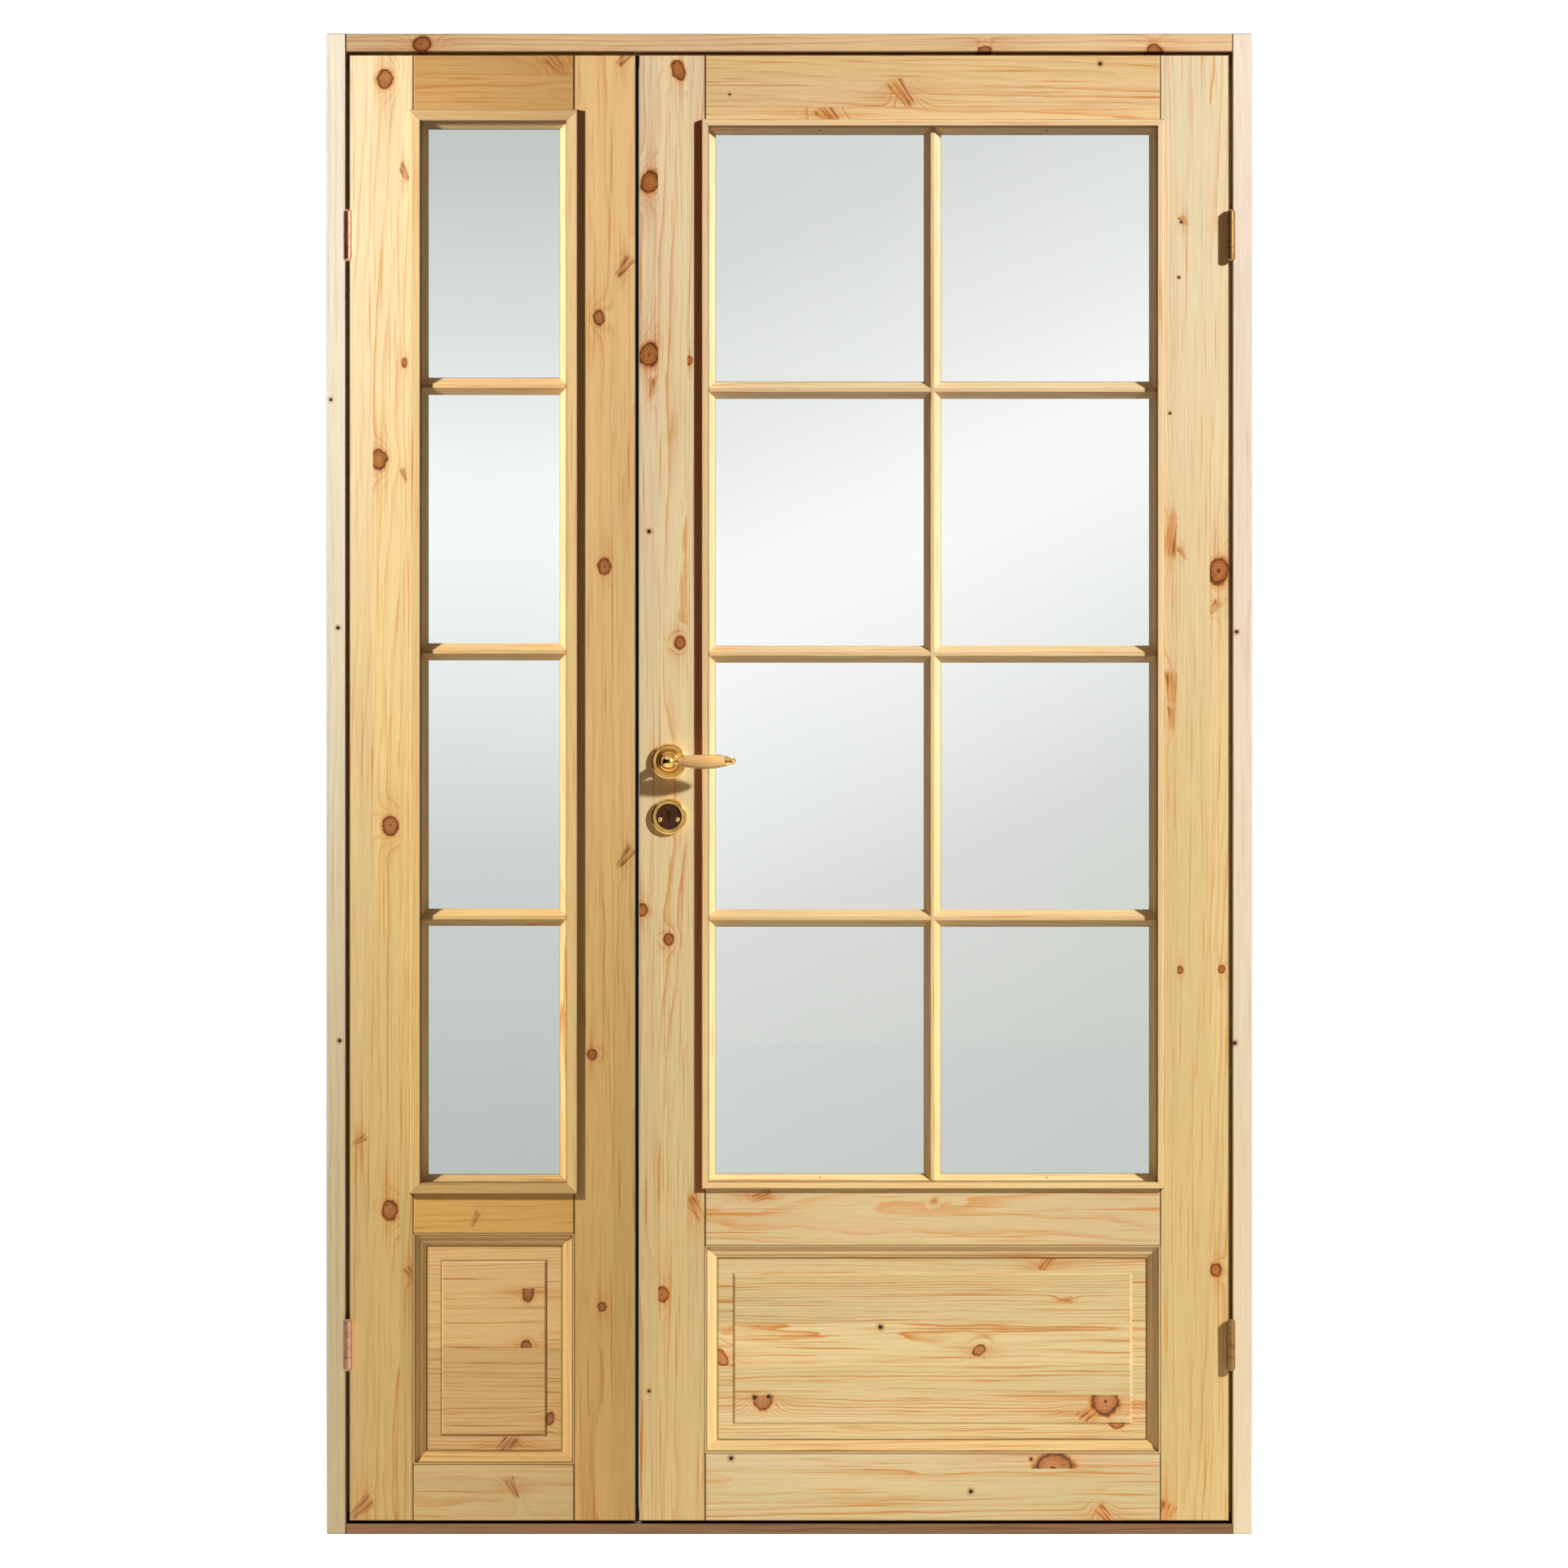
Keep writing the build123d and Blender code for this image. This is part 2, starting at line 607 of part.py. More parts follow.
def disc_section(plane, bore):
    """Half section of a round plate on the leaf's front face, with its outer rim rounded."""
    with BuildSketch(plane) as section:
        with BuildLine():
            Polyline((bore, -rose_thickness), (bore, 0), (rose_radius, 0),
                     (rose_radius, rose_round - rose_thickness))
            RadiusArc((rose_radius, rose_round - rose_thickness),
                      (rose_radius - rose_round, -rose_thickness), rose_round)
            Line((rose_radius - rose_round, -rose_thickness), (bore, -rose_thickness))
        make_face()
    return section.sketch


def groove_section(plane):
    """Section of the hollow turned in a rose's face, seen as a shallow circle's segment."""
    with BuildSketch(plane) as section:
        with BuildLine():
            Line((rose_groove_outer, -rose_thickness), (rose_groove_inner, -rose_thickness))
            SagittaArc((rose_groove_inner, -rose_thickness), (rose_groove_outer, -rose_thickness),
                       rose_groove_depth)
        make_face()
    return section.sketch


handle_axis = Axis((handle_x, leaf_front, handle_height), (0, -1, 0))
key_axis = Axis((handle_x, leaf_front, key_height), (0, -1, 0))

with BuildPart() as handle_roses:
    revolve(disc_section(front_handle, neck_radius + neck_clearance), axis=handle_axis)
    revolve(groove_section(front_handle), axis=handle_axis, mode=Mode.SUBTRACT)
    mirror(about=Plane.XZ.offset(-leaf_middle))
save(handle_roses, "handle_roses")

with BuildPart() as escutcheons:
    revolve(disc_section(front_key, insert_radius), axis=key_axis)
    mirror(about=Plane.XZ.offset(-leaf_middle))
save(escutcheons, "escutcheons")

with BuildPart() as escutcheon_inserts:
    with Locations(Location((handle_x, leaf_front - insert_thickness / 2, key_height), (90, 0, 0))):
        Cylinder(insert_radius, insert_thickness)
    extrude(keyhole.sketch.moved(Location((0, leaf_front, 0))), amount=insert_thickness,
            mode=Mode.SUBTRACT)
    mirror(about=Plane.XZ.offset(-leaf_middle))
save(escutcheon_inserts, "escutcheon_inserts")

# Levers: a turned neck that ends in a ball, with a rod out through the grip
grip_y = leaf_front - lever_stand
rod_end = grip_end + cap_flange + cap_step / 2
with BuildSketch(front_handle) as neck:
    with BuildLine():
        waist_drop = (ball_radius ** 2 - neck_waist ** 2) ** 0.5
        waist_end = (neck_waist, waist_drop - lever_stand)
        ball_end = (0, -lever_stand - ball_radius)
        Polyline(ball_end, (0, -neck_clearance), (neck_radius, -neck_clearance),
                 (neck_radius, -neck_collar))
        SagittaArc((neck_radius, -neck_collar), waist_end, -neck_sag)
        ThreePointArc(waist_end, (ball_radius, -lever_stand), ball_end)
    make_face()
with BuildPart() as front_lever:
    revolve(neck.sketch, axis=handle_axis)
    with Locations(Location((handle_x, grip_y, handle_height), (0, 90, 0))):
        Cylinder(ferrule_radius, ferrule_end, align=(Align.CENTER, Align.CENTER, Align.MIN))
        Cylinder(grip_rod_radius, rod_end, align=(Align.CENTER, Align.CENTER, Align.MIN))
    board(handle_x - spindle_side / 2 - spindle_play, handle_x + spindle_side / 2 + spindle_play,
          handle_height - spindle_side / 2 - spindle_play,
          handle_height + spindle_side / 2 + spindle_play,
          leaf_front - spindle_grip, leaf_front, Mode.SUBTRACT)
save(front_lever, "front_lever")

with BuildPart() as back_lever:
    mirror(front_lever.part, about=Plane.XZ.offset(-leaf_middle))
save(back_lever, "back_lever")

# Grips: turned pine, swelling towards the end, bored for the rod
grip_axis = Axis((handle_x, grip_y, handle_height), (1, 0, 0))
grip_plane = Plane(origin=(handle_x, grip_y, handle_height), x_dir=(1, 0, 0), z_dir=(0, -1, 0))
grip_belly = ferrule_end + (grip_end - ferrule_end) * grip_belly_place
with BuildSketch(grip_plane) as grip_half:
    with BuildLine():
        Polyline((grip_end, grip_end_radius), (grip_end, grip_rod_radius + pin_clearance),
                 (ferrule_end, grip_rod_radius + pin_clearance), (ferrule_end, grip_neck_radius))
        Spline((ferrule_end, grip_neck_radius), (grip_belly, grip_belly_radius),
               (grip_end, grip_end_radius))
    make_face()
with BuildPart() as front_grip:
    revolve(grip_half.sketch, axis=grip_axis)
save(front_grip, "front_grip")

with BuildPart() as back_grip:
    mirror(front_grip.part, about=Plane.XZ.offset(-leaf_middle))
save(back_grip, "back_grip")

# Caps: a flange, a step and a small ball on the end of each rod
cap_end = grip_end + cap_length
with BuildSketch(grip_plane) as cap_half:
    with BuildLine():
        flange_end = grip_end + cap_flange
        step_end = flange_end + cap_step
        ball_middle = cap_end - cap_ball_radius
        ball_foot = (cap_ball_radius ** 2 - (ball_middle - step_end) ** 2) ** 0.5
        Polyline((cap_end, 0), (grip_end, 0), (grip_end, grip_end_radius),
                 (flange_end, grip_end_radius), (flange_end, cap_step_radius),
                 (step_end, cap_step_radius), (step_end, ball_foot))
        ThreePointArc((step_end, ball_foot), (ball_middle, cap_ball_radius), (cap_end, 0))
    make_face()
with BuildPart() as grip_caps:
    revolve(cap_half.sketch, axis=grip_axis)
    with Locations(Location((handle_x + grip_end, grip_y, handle_height), (0, 90, 0))):
        Cylinder(grip_rod_radius + pin_clearance, rod_end - grip_end + pin_clearance,
                 align=(Align.CENTER, Align.CENTER, Align.MIN), mode=Mode.SUBTRACT)
    mirror(about=Plane.XZ.offset(-leaf_middle))
save(grip_caps, "grip_caps")

# Spindle: one square bar through the stile, held in both necks
with BuildPart() as spindle:
    board(handle_x - spindle_side / 2, handle_x + spindle_side / 2,
          handle_height - spindle_side / 2, handle_height + spindle_side / 2,
          leaf_front - spindle_grip + spindle_play, leaf_back + spindle_grip - spindle_play)
save(spindle, "spindle")
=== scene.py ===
import json
import math

import bmesh
import bpy
from mathutils import Matrix, Vector

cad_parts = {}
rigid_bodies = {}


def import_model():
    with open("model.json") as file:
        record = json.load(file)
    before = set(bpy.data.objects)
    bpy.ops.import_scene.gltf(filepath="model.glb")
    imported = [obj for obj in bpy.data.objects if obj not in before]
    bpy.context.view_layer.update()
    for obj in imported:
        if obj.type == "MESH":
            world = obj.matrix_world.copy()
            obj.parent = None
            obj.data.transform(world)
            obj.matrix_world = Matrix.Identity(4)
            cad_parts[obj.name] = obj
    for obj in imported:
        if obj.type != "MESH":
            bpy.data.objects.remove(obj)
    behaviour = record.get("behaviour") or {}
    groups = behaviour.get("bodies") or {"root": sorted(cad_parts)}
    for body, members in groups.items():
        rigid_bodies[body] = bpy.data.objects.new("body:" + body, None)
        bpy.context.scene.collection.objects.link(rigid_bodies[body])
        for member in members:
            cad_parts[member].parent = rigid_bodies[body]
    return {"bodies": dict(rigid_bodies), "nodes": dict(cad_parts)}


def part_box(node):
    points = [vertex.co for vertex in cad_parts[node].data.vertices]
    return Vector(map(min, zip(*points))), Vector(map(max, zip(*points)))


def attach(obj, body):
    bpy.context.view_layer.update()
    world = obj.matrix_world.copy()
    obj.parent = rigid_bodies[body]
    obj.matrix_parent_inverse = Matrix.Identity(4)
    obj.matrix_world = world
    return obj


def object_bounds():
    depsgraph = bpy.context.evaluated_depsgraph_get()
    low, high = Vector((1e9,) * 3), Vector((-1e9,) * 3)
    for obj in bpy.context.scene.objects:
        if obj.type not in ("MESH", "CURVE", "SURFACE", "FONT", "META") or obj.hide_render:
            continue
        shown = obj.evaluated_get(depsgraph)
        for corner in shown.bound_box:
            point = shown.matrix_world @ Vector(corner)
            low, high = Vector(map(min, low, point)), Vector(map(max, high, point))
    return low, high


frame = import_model()
cad_low, cad_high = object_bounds()
nodes = frame["nodes"]


# Door frame: two jambs with a head between them, planed from pale knotty pine and clear lacquered.
# The jambs run the full height, and each board shows growth rings, fine fibre and a few knots.

class Value:
    """One output of a shader node, on which sums are written as Python expressions."""

    def __init__(self, tree, socket=None):
        self.tree = tree
        self.socket = socket

    def node(self, kind, settings, sockets, output=0):
        """Add a node: its settings first, then the values or links of its sockets."""
        made = self.tree.nodes.new(kind)
        for name, value in settings.items():
            if name == "stops":
                ramp = made.color_ramp.elements
                while len(ramp) < len(value):
                    ramp.new(1.0)
                for element, (place, colour) in zip(ramp, value):
                    element.position = place
                    element.color = colour
            else:
                setattr(made, name, value)
        for name, value in sockets.items():
            if isinstance(value, Value):
                self.tree.links.new(value.socket, made.inputs[name])
            else:
                made.inputs[name].default_value = value
        return Value(self.tree, made.outputs[output])

    def math(self, operation, first, second=0.0):
        return self.node("ShaderNodeMath", {"operation": operation}, {0: first, 1: second})

    def __add__(self, other):
        return self.math("ADD", self, other)

    def __radd__(self, other):
        return self.math("ADD", other, self)

    def __sub__(self, other):
        return self.math("SUBTRACT", self, other)

    def __rsub__(self, other):
        return self.math("SUBTRACT", other, self)

    def __mul__(self, other):
        return self.math("MULTIPLY", self, other)

    def __rmul__(self, other):
        return self.math("MULTIPLY", other, self)

    def __truediv__(self, other):
        return self.math("DIVIDE", self, other)

    def __rtruediv__(self, other):
        return self.math("DIVIDE", other, self)

    def __gt__(self, other):
        return self.math("GREATER_THAN", self, other)

    def __lt__(self, other):
        return self.math("LESS_THAN", self, other)

    def __abs__(self):
        return self.math("ABSOLUTE", self)

    def vector_math(self, operation, first, second, output=0):
        return self.node("ShaderNodeVectorMath", {"operation": operation}, {0: first, 1: second}, output)

    def combine(self, x, y, z):
        return self.node("ShaderNodeCombineXYZ", {}, {0: x, 1: y, 2: z})

    def mix(self, factor, first, second, blend="MIX"):
        """Blend two colours."""
        return self.node("ShaderNodeMix", {"data_type": "RGBA", "blend_type": blend},
                         {0: factor, 6: first, 7: second}, 2)

    def noise(self, vector, detail=2.0, roughness=0.5):
        return self.node("ShaderNodeTexNoise", {}, {"Vector": vector, "Scale": 1.0, "Detail": detail,
                                                    "Roughness": roughness})

    def fade(self, value, start, end):
        """Smooth step from 0 at start to 1 at end."""
        return self.node("ShaderNodeMapRange", {"interpolation_type": "SMOOTHSTEP"},
                         {"Value": value, "From Min": start, "From Max": end})

    def ramp(self, factor, stops, output=0):
        return self.node("ShaderNodeValToRGB", {"stops": stops}, {0: factor}, output)

    def split(self, kind, whole):
        """The three parts of a vector or colour."""
        parts = self.node(kind, {}, {0: whole}).socket.node.outputs
        return [Value(self.tree, part) for part in parts]


def srgb(red, green, blue, alpha=1.0):
    """A colour written in 0 to 255 screen values, as the linear colour that a shader takes."""
    screen = [channel / 255 for channel in (red, green, blue)]
    return [s / 12.92 if s <= 0.04045 else ((s + 0.055) / 1.055) ** 2.4 for s in screen] + [alpha]


def new_material(name):
    """An empty material with its shader and the object's own coordinates."""
    material = bpy.data.materials.new(name)
    material.use_nodes = True
    tree = material.node_tree
    shader = tree.nodes["Principled BSDF"]
    maker = Value(tree)
    place = maker.node("ShaderNodeTexCoord", {}, {}, 3)
    return material, maker, shader, place


def dress(node, material):
    """Give a CAD node its finish."""
    slots = nodes[node].data.materials
    slots.clear()
    slots.append(material)


PHOTO_LEFT = 403
PHOTO_FOOT = 1876
METRES_ACROSS = 0.001131
METRES_UP = 0.0011268
LEAF_FOOT = 0.019


def photo_x(pixel):
    """Place across the door of a column of the photograph."""
    return cad_low.x + (pixel - PHOTO_LEFT) * METRES_ACROSS


def photo_z(pixel):
    """Height above the floor of a row of the photograph."""
    return LEAF_FOOT + (PHOTO_FOOT - pixel) * METRES_UP


KNOT_FAR = 9.0
KNOT_PULL = 1.5
KNOT_STOPS = [(0.0, srgb(110, 62, 34)), (0.04, srgb(176, 116, 70)), (0.2, srgb(172, 109, 62)),
              (0.3, srgb(154, 92, 48)), (0.35, srgb(88, 46, 22)), (0.39, srgb(138, 76, 34, 0.95)),
              (0.46, srgb(200, 128, 60, 0.4)), (0.6, srgb(210, 146, 76, 0.0)),
              (1.0, srgb(210, 146, 76, 0.0))]
DOT_STOPS = [(0.0, srgb(40, 24, 16)), (0.34, srgb(66, 36, 20)), (0.42, srgb(160, 98, 54, 0.6)),
             (1.0, srgb(200, 150, 90, 0.0))]
RING_STOPS = [(0.0, (0.0, 0.0, 0.0, 1)), (0.5, (0.06, 0.06, 0.06, 1)), (0.74, (0.42, 0.42, 0.42, 1)),
              (0.9, (1.0, 1.0, 1.0, 1)), (0.96, (0.9, 0.9, 0.9, 1)), (1.0, (0.0, 0.0, 0.0, 1))]
HALO = srgb(206, 128, 54)
# Painted shade for crease lines, and the painted shadow beside a proud bead
CREASE_SHADE = srgb(74, 44, 22)
BEAD_SHADOW_PAINT = srgb(186, 84, 36)
BEAD_SHADOW_EDGE = 0.0015
BROWN_FLAME = (srgb(198, 136, 78), srgb(138, 80, 40))
GOLD_FLAME = (srgb(226, 158, 82), srgb(158, 80, 28))


def pine(node, grain, early, late, seed, strips=(), knots=(), flames=(), dots=(), ring_gap=0.0045,
         heart=(0.3, 0.1), contrast=1.0, gloss=0.42, foot=0.0, crown=0.0, level=0.0,
         knot_tint=(1.0, 1.0, 1.0), flame_colours=BROWN_FLAME, creases=(0.0,), crease_box=None, bead_shadow=None):
    """Give a node lacquered pine: rings along the grain, glued strips, and knots that push rings aside.

    grain is "Z" or "X", or "ring" for mitred lengths that run both ways. strips are the glue lines across
    the grain, knots and flames (x, z, radius, stretch, tilt), dots (x, z, radius). Flames are knots sawn
    lengthwise, slanting bands that are wide at one end. heart says how far the tree's heart may lie to
    the side of the board and behind it. foot is painted shade that darkens the wood towards the floor,
    crown a painted highlight that pales it towards the head, and level darkens the lengths of a ring that
    lie level. creases are the insets, from the piece's outline or another box, where painted shade draws
    dark lines, and bead_shadow the left, right, low and high edges of a patch of painted shadow.
    """
    material, v, shader, place = new_material(node.replace("_", " ") + " pine")
    low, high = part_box(node)
    x, y, z = v.split("ShaderNodeSeparateXYZ", place)
    # Painted shade: foot darkens and warms the wood towards the floor, as the lamps fall off there
    shading = foot * (1 - v.fade(z, 0.0, 1.3))
    if grain == "Z":
        along, across = z, x
        middle = (low.x + high.x) / 2
    elif grain == "X":
        along, across = x, z
        middle = (low.z + high.z) / 2
    else:
        from_side = v.math("MINIMUM", abs(x - low.x), abs(x - high.x))
        from_end = v.math("MINIMUM", abs(z - low.z), abs(z - high.z))
        on_side = from_side < from_end
        along = on_side * z + (1 - on_side) * x
        across = on_side * x + (1 - on_side) * z
        middle = 0.0
        shading = shading + level * (1 - on_side)

    # Strips: each glued length of wood has its own heart, tone and slope
    strip = v.math("ADD", 0.0, seed)
    for edge in strips:
        strip = strip + (across > edge)
    chance = v.node("ShaderNodeTexWhiteNoise", {"noise_dimensions": "1D"}, {"W": strip * 7.31}, 1)
    lot_a, lot_b, lot_c = v.split("ShaderNodeSeparateColor", chance)

    # Knots: how far each point is from the nearest one, and how much they push the rings aside
    ragged = v.noise(v.vector_math("MULTIPLY", place, (170, 170, 170)), 3.0, 0.6) - 0.5
    lumps = v.noise(v.vector_math("MULTIPLY", place, (60, 60, 60)), 1.0) - 0.5
    push = v.math("ADD", 0.0, 0.0)
    nearest = v.math("ADD", KNOT_FAR, 0.0)
    burning = v.math("ADD", 0.0, 0.0)
    charred = v.math("ADD", 0.0, 0.0)
    halo = v.math("ADD", 0.0, 0.0)
    for number, (knot_x, knot_z, radius, stretch, tilt) in enumerate(list(knots) + list(flames)):
        centre, station = (knot_x, knot_z) if grain == "Z" else (knot_z, knot_x)
        knot_strip = seed + sum(centre > edge for edge in strips)
        local = v.node("ShaderNodeMapping", {"vector_type": "TEXTURE"},
                       {"Vector": place, "Location": (knot_x, 0.0, knot_z),
                        "Rotation": (0.0, math.radians(tilt), 0.0),
                        "Scale": (radius, 1.0, radius * stretch)})
        wide, _, tall = v.split("ShaderNodeSeparateXYZ", local)
        astray = abs(strip - knot_strip) * KNOT_FAR
        reach = v.vector_math("LENGTH", v.combine(wide, 0.0, tall), (0, 0, 0), 1) + astray
        if number < len(knots):
            reach = reach + ragged * min(0.6, 0.006 / radius) + lumps * 0.6
            nearest = v.math("MINIMUM", nearest, reach)
        else:
            side = abs(wide * (1 - tall * 0.45)) + ragged * 0.4
            end = abs(tall) + ragged * 0.4 + astray
            inside = (1 - v.fade(side, 0.6, 1.1)) * (1 - v.fade(end, 0.6, 1.1))
            streaks = v.noise(v.combine(wide * 3.5 + seed, tall * 0.5, 0.0), 2.0)
            streaks = v.fade(streaks, 0.44, 0.62) * 0.9 + v.fade(side, 0.4, 0.9) * 0.4
            burning = v.math("MAXIMUM", burning, inside * (0.5 + streaks * 0.55))
            charred = v.math("MAXIMUM", charred, inside * streaks)
        off = (across - centre) / (radius * 1.4)
        past = (along - station) / (radius * 5.0)
        halo = v.math("MAXIMUM", halo, v.math("EXPONENT", (off * off + past * past + astray) * -1.0))
        push = push + v.math("EXPONENT", reach * reach * -0.35) * (radius * KNOT_PULL)
    nearest_dot = v.math("ADD", KNOT_FAR, 0.0)
    for dot_x, dot_z, radius in dots:
        away = v.vector_math("SUBTRACT", place, (dot_x, 0.0, dot_z))
        away = v.vector_math("MULTIPLY", away, (1 / radius, 0.0, 1 / radius))
        away = v.vector_math("LENGTH", away, (0, 0, 0), 1) + ragged
        nearest_dot = v.math("MINIMUM", nearest_dot, away)

    # Growth rings: distance from a heart that lies behind the board, a little out of true
    local = v.combine(across + strip * 3.1, y, along)
    wander = v.noise(v.vector_math("MULTIPLY", local, (9, 9, 1.5)), 2.0)
    ripple = v.noise(v.vector_math("MULTIPLY", local, (70, 70, 10)), 2.0)
    heart_side, heart_depth = heart
    sideways = across - middle - (lot_a - 0.5) * heart_side
    behind = y - lot_b * heart_depth - heart_depth / 3
    from_heart = v.vector_math("LENGTH", v.combine(sideways, behind, 0.0), (0, 0, 0), 1)
    bend = along * (lot_c - 0.5) * 0.03 + (wander - 0.5) * 0.024 + (ripple - 0.5) * 0.004
    count = (from_heart + bend + push) / ring_gap
    year = v.math("FLOOR", count)
    ring = v.ramp(v.math("FRACT", count), RING_STOPS)
    strength = v.node("ShaderNodeTexWhiteNoise", {"noise_dimensions": "1D"}, {"W": year + strip * 31.7})
    band = v.noise(v.vector_math("MULTIPLY", local, (30, 30, 2.0)), 2.0)
    late_wood = ring * (strength * 0.85 + 0.15) * v.fade(band, 0.25, 0.7) * contrast

    # Fibre, fine dark and pale lines along the grain, and the slow drift of tone along a board
    fibre = v.noise(v.vector_math("MULTIPLY", local, (700, 700, 16)), 3.0, 0.7)
    lines = v.noise(v.vector_math("MULTIPLY", local, (330, 330, 5)), 2.0, 0.6)
    dark_line = v.fade(lines, 0.57, 0.72)
    pale_line = v.fade(lines, 0.43, 0.28)
    drift = v.noise(v.vector_math("MULTIPLY", local, (5, 5, 1.4)), 3.0)
    tone = 0.93 + (drift - 0.5) * 0.3 + (lot_b - 0.5) * 0.12 + (fibre - 0.5) * 0.3 + pale_line * 0.07
    # Painted highlight: the height term in warmth and crown pale the wood towards the head, as the lamps
    # glare there
    warmth = tone - (lot_c - 0.5) * 0.1 + (v.fade(z, 0.2, 1.9) - 0.5) * 0.2
    pale = v.fade(z, 1.0, 1.9) * crown
    light = v.combine(tone * (1 - shading + pale * 0.1), tone * (1 - shading * 1.25 + pale * 0.38),
                      warmth * (1 - shading * 1.5 + pale))

    late_wood = v.math("MINIMUM", 1.0, late_wood + dark_line * 0.7 * contrast)
    colour = v.mix(late_wood, early, late)
    colour = v.mix(1.0, colour, light, "MULTIPLY")
    colour = v.mix(halo * v.fade(lines, 0.3, 0.62) * 0.6, colour, HALO)
    if flames:
        flame = v.mix(v.math("MINIMUM", 1.0, charred), *flame_colours)
        colour = v.mix(v.math("MINIMUM", 0.95, burning), colour, flame)
    if knots:
        heart_rings = v.math("FRACT", nearest * 3.2 + ragged)
        inside = 1 - v.fade(nearest, 0.8, 1.1)
        mood = v.noise(v.vector_math("MULTIPLY", place, (40, 40, 40)), 3.0, 0.7)
        shade = 1.5 - mood * 0.8 - v.fade(heart_rings, 0.4, 0.95) * inside * 0.35
        red, green, blue = knot_tint
        shade = v.combine(shade * red, shade * green, shade * blue)
        knot_colour = v.mix(1.0, v.ramp(nearest / 2.6, KNOT_STOPS), shade, "MULTIPLY")
        colour = v.mix(v.ramp(nearest / 2.6, KNOT_STOPS, 1), colour, knot_colour)
    if dots:
        dot_colour = v.ramp(nearest_dot / 2.6, DOT_STOPS)
        colour = v.mix(v.ramp(nearest_dot / 2.6, DOT_STOPS, 1), colour, dot_colour)

    # Painted shade: dark lines at the given insets, where creases and joints fall in shadow
    edge_low, edge_high = crease_box or (low, high)
    from_side = v.math("MINIMUM", x - edge_low.x, edge_high.x - x)
    from_end = v.math("MINIMUM", z - edge_low.z, edge_high.z - z)
    inset = v.math("MINIMUM", from_side, from_end)
    crease = v.math("ADD", 0.0, 0.0)
    for line in creases:
        crease = v.math("MAXIMUM", crease, 1 - v.fade(abs(inset - line), 0.0003, 0.0014))
    colour = v.mix(crease * 0.7, colour, CREASE_SHADE)
    # Painted shadow: a reddened dark patch where the proud bead's shadow falls on the stile
    if bead_shadow:
        left, right, bottom, top = bead_shadow
        inside = v.fade(x, left - BEAD_SHADOW_EDGE, left) * v.fade(x, right + BEAD_SHADOW_EDGE, right)
        inside = inside * v.fade(z, bottom - BEAD_SHADOW_EDGE, bottom) * v.fade(z, top + BEAD_SHADOW_EDGE, top)
        colour = v.mix(inside * 0.75, colour, BEAD_SHADOW_PAINT)

    relief = late_wood * 0.5 + fibre * 0.5
    bump = v.node("ShaderNodeBump", {}, {"Strength": 0.25, "Distance": 0.0004, "Height": relief})
    v.tree.links.new(colour.socket, shader.inputs["Base Color"])
    v.tree.links.new((gloss + late_wood * 0.08 + (fibre - 0.5) * 0.1).socket, shader.inputs["Roughness"])
    v.tree.links.new(bump.socket, shader.inputs["Normal"])
    shader.inputs["Specular IOR Level"].default_value = 0.3
    shader.inputs["Coat Weight"].default_value = 0.06
    shader.inputs["Coat Roughness"].default_value = 0.25
    dress(node, material)


def knots_at(*marks):
    """Knots from the photograph: column, row and radius, then stretch and tilt where they aren't round."""
    made = []
    for column, row, radius, *form in marks:
        stretch, tilt = form if form else (1.15, 0)
        made.append((photo_x(column), photo_z(row), radius * METRES_ACROSS, stretch, tilt))
    return made


def dots_at(*marks):
    """Small dead knots from the photograph: column, row and radius."""
    return [(photo_x(column), photo_z(row), radius * METRES_ACROSS) for column, row, radius in marks]


pine("left_jamb", "Z", srgb(228, 214, 182), srgb(204, 170, 120), 1.0, contrast=0.6, foot=0.16, crown=0.1,
     dots=dots_at((417, 773, 2.2), (419, 1283, 2.2), (408, 491, 2.0)))
pine("right_jamb", "Z", srgb(249, 234, 206), srgb(226, 184, 132), 2.0, contrast=0.6, foot=0.1,
     dots=dots_at((1523, 778, 2.2), (1521, 1286, 2.4)))
pine("head", "X", srgb(248, 214, 154), srgb(210, 150, 80), 3.0,
     knots=knots_at((520, 52, 11, 0.8, 0), (1213, 61, 8, 0.8, 0), (1422, 60, 10, 0.8, 0)))


# Threshold: a low sill of brown hardwood let in between the jambs, oiled, its front edge eased.
pine("threshold", "X", srgb(129, 92, 67), srgb(86, 54, 37), 4.0, ring_gap=0.0025, gloss=0.5)


# Stiles: upright members of both leaves, glued up from strips of knotty pine, whose knots stop
# at the glue lines. The side leaf is a shade browner than the active leaf.
ACTIVE_KNOTS = (1.12, 1.06, 0.8)
PALE_KNOTS = (1.25, 1.42, 1.5)
side_early = srgb(244, 204, 136)
side_late = srgb(216, 142, 66)
active_early = srgb(250, 220, 160)
active_late = srgb(228, 152, 74)

pine("side_hinge_stile", "Z", srgb(245, 214, 150), srgb(222, 154, 78), 10.0, foot=0.2, crown=0.34,
     strips=[photo_x(460), photo_x(493)],
     knots=knots_at((475, 95, 10), (467, 565, 10), (482, 1018, 10), (481, 1493, 10),
                    (499, 445, 3, 2.0, 0)), knot_tint=(1.1, 1.14, 1.1),
     flames=knots_at((498, 210, 5, 2.8, -28), (444, 1406, 4, 2.6, 60), (446, 1860, 8, 2.6, 45),
                     (498, 584, 3, 3.2, -20), (506, 1571, 5, 2.2, -35)))
pine("side_meeting_stile", "Z", side_early, side_late, 20.0, foot=0.19,
     strips=[photo_x(756)],
     knots=knots_at((738, 390, 7, 1.3, 0), (745, 697, 8), (730, 1300, 6), (742, 1612, 5)),
     flames=knots_at((769, 327, 6, 2.8, 36), (771, 1056, 6, 2.8, 36), (768, 70, 6, 1.8, 35)))
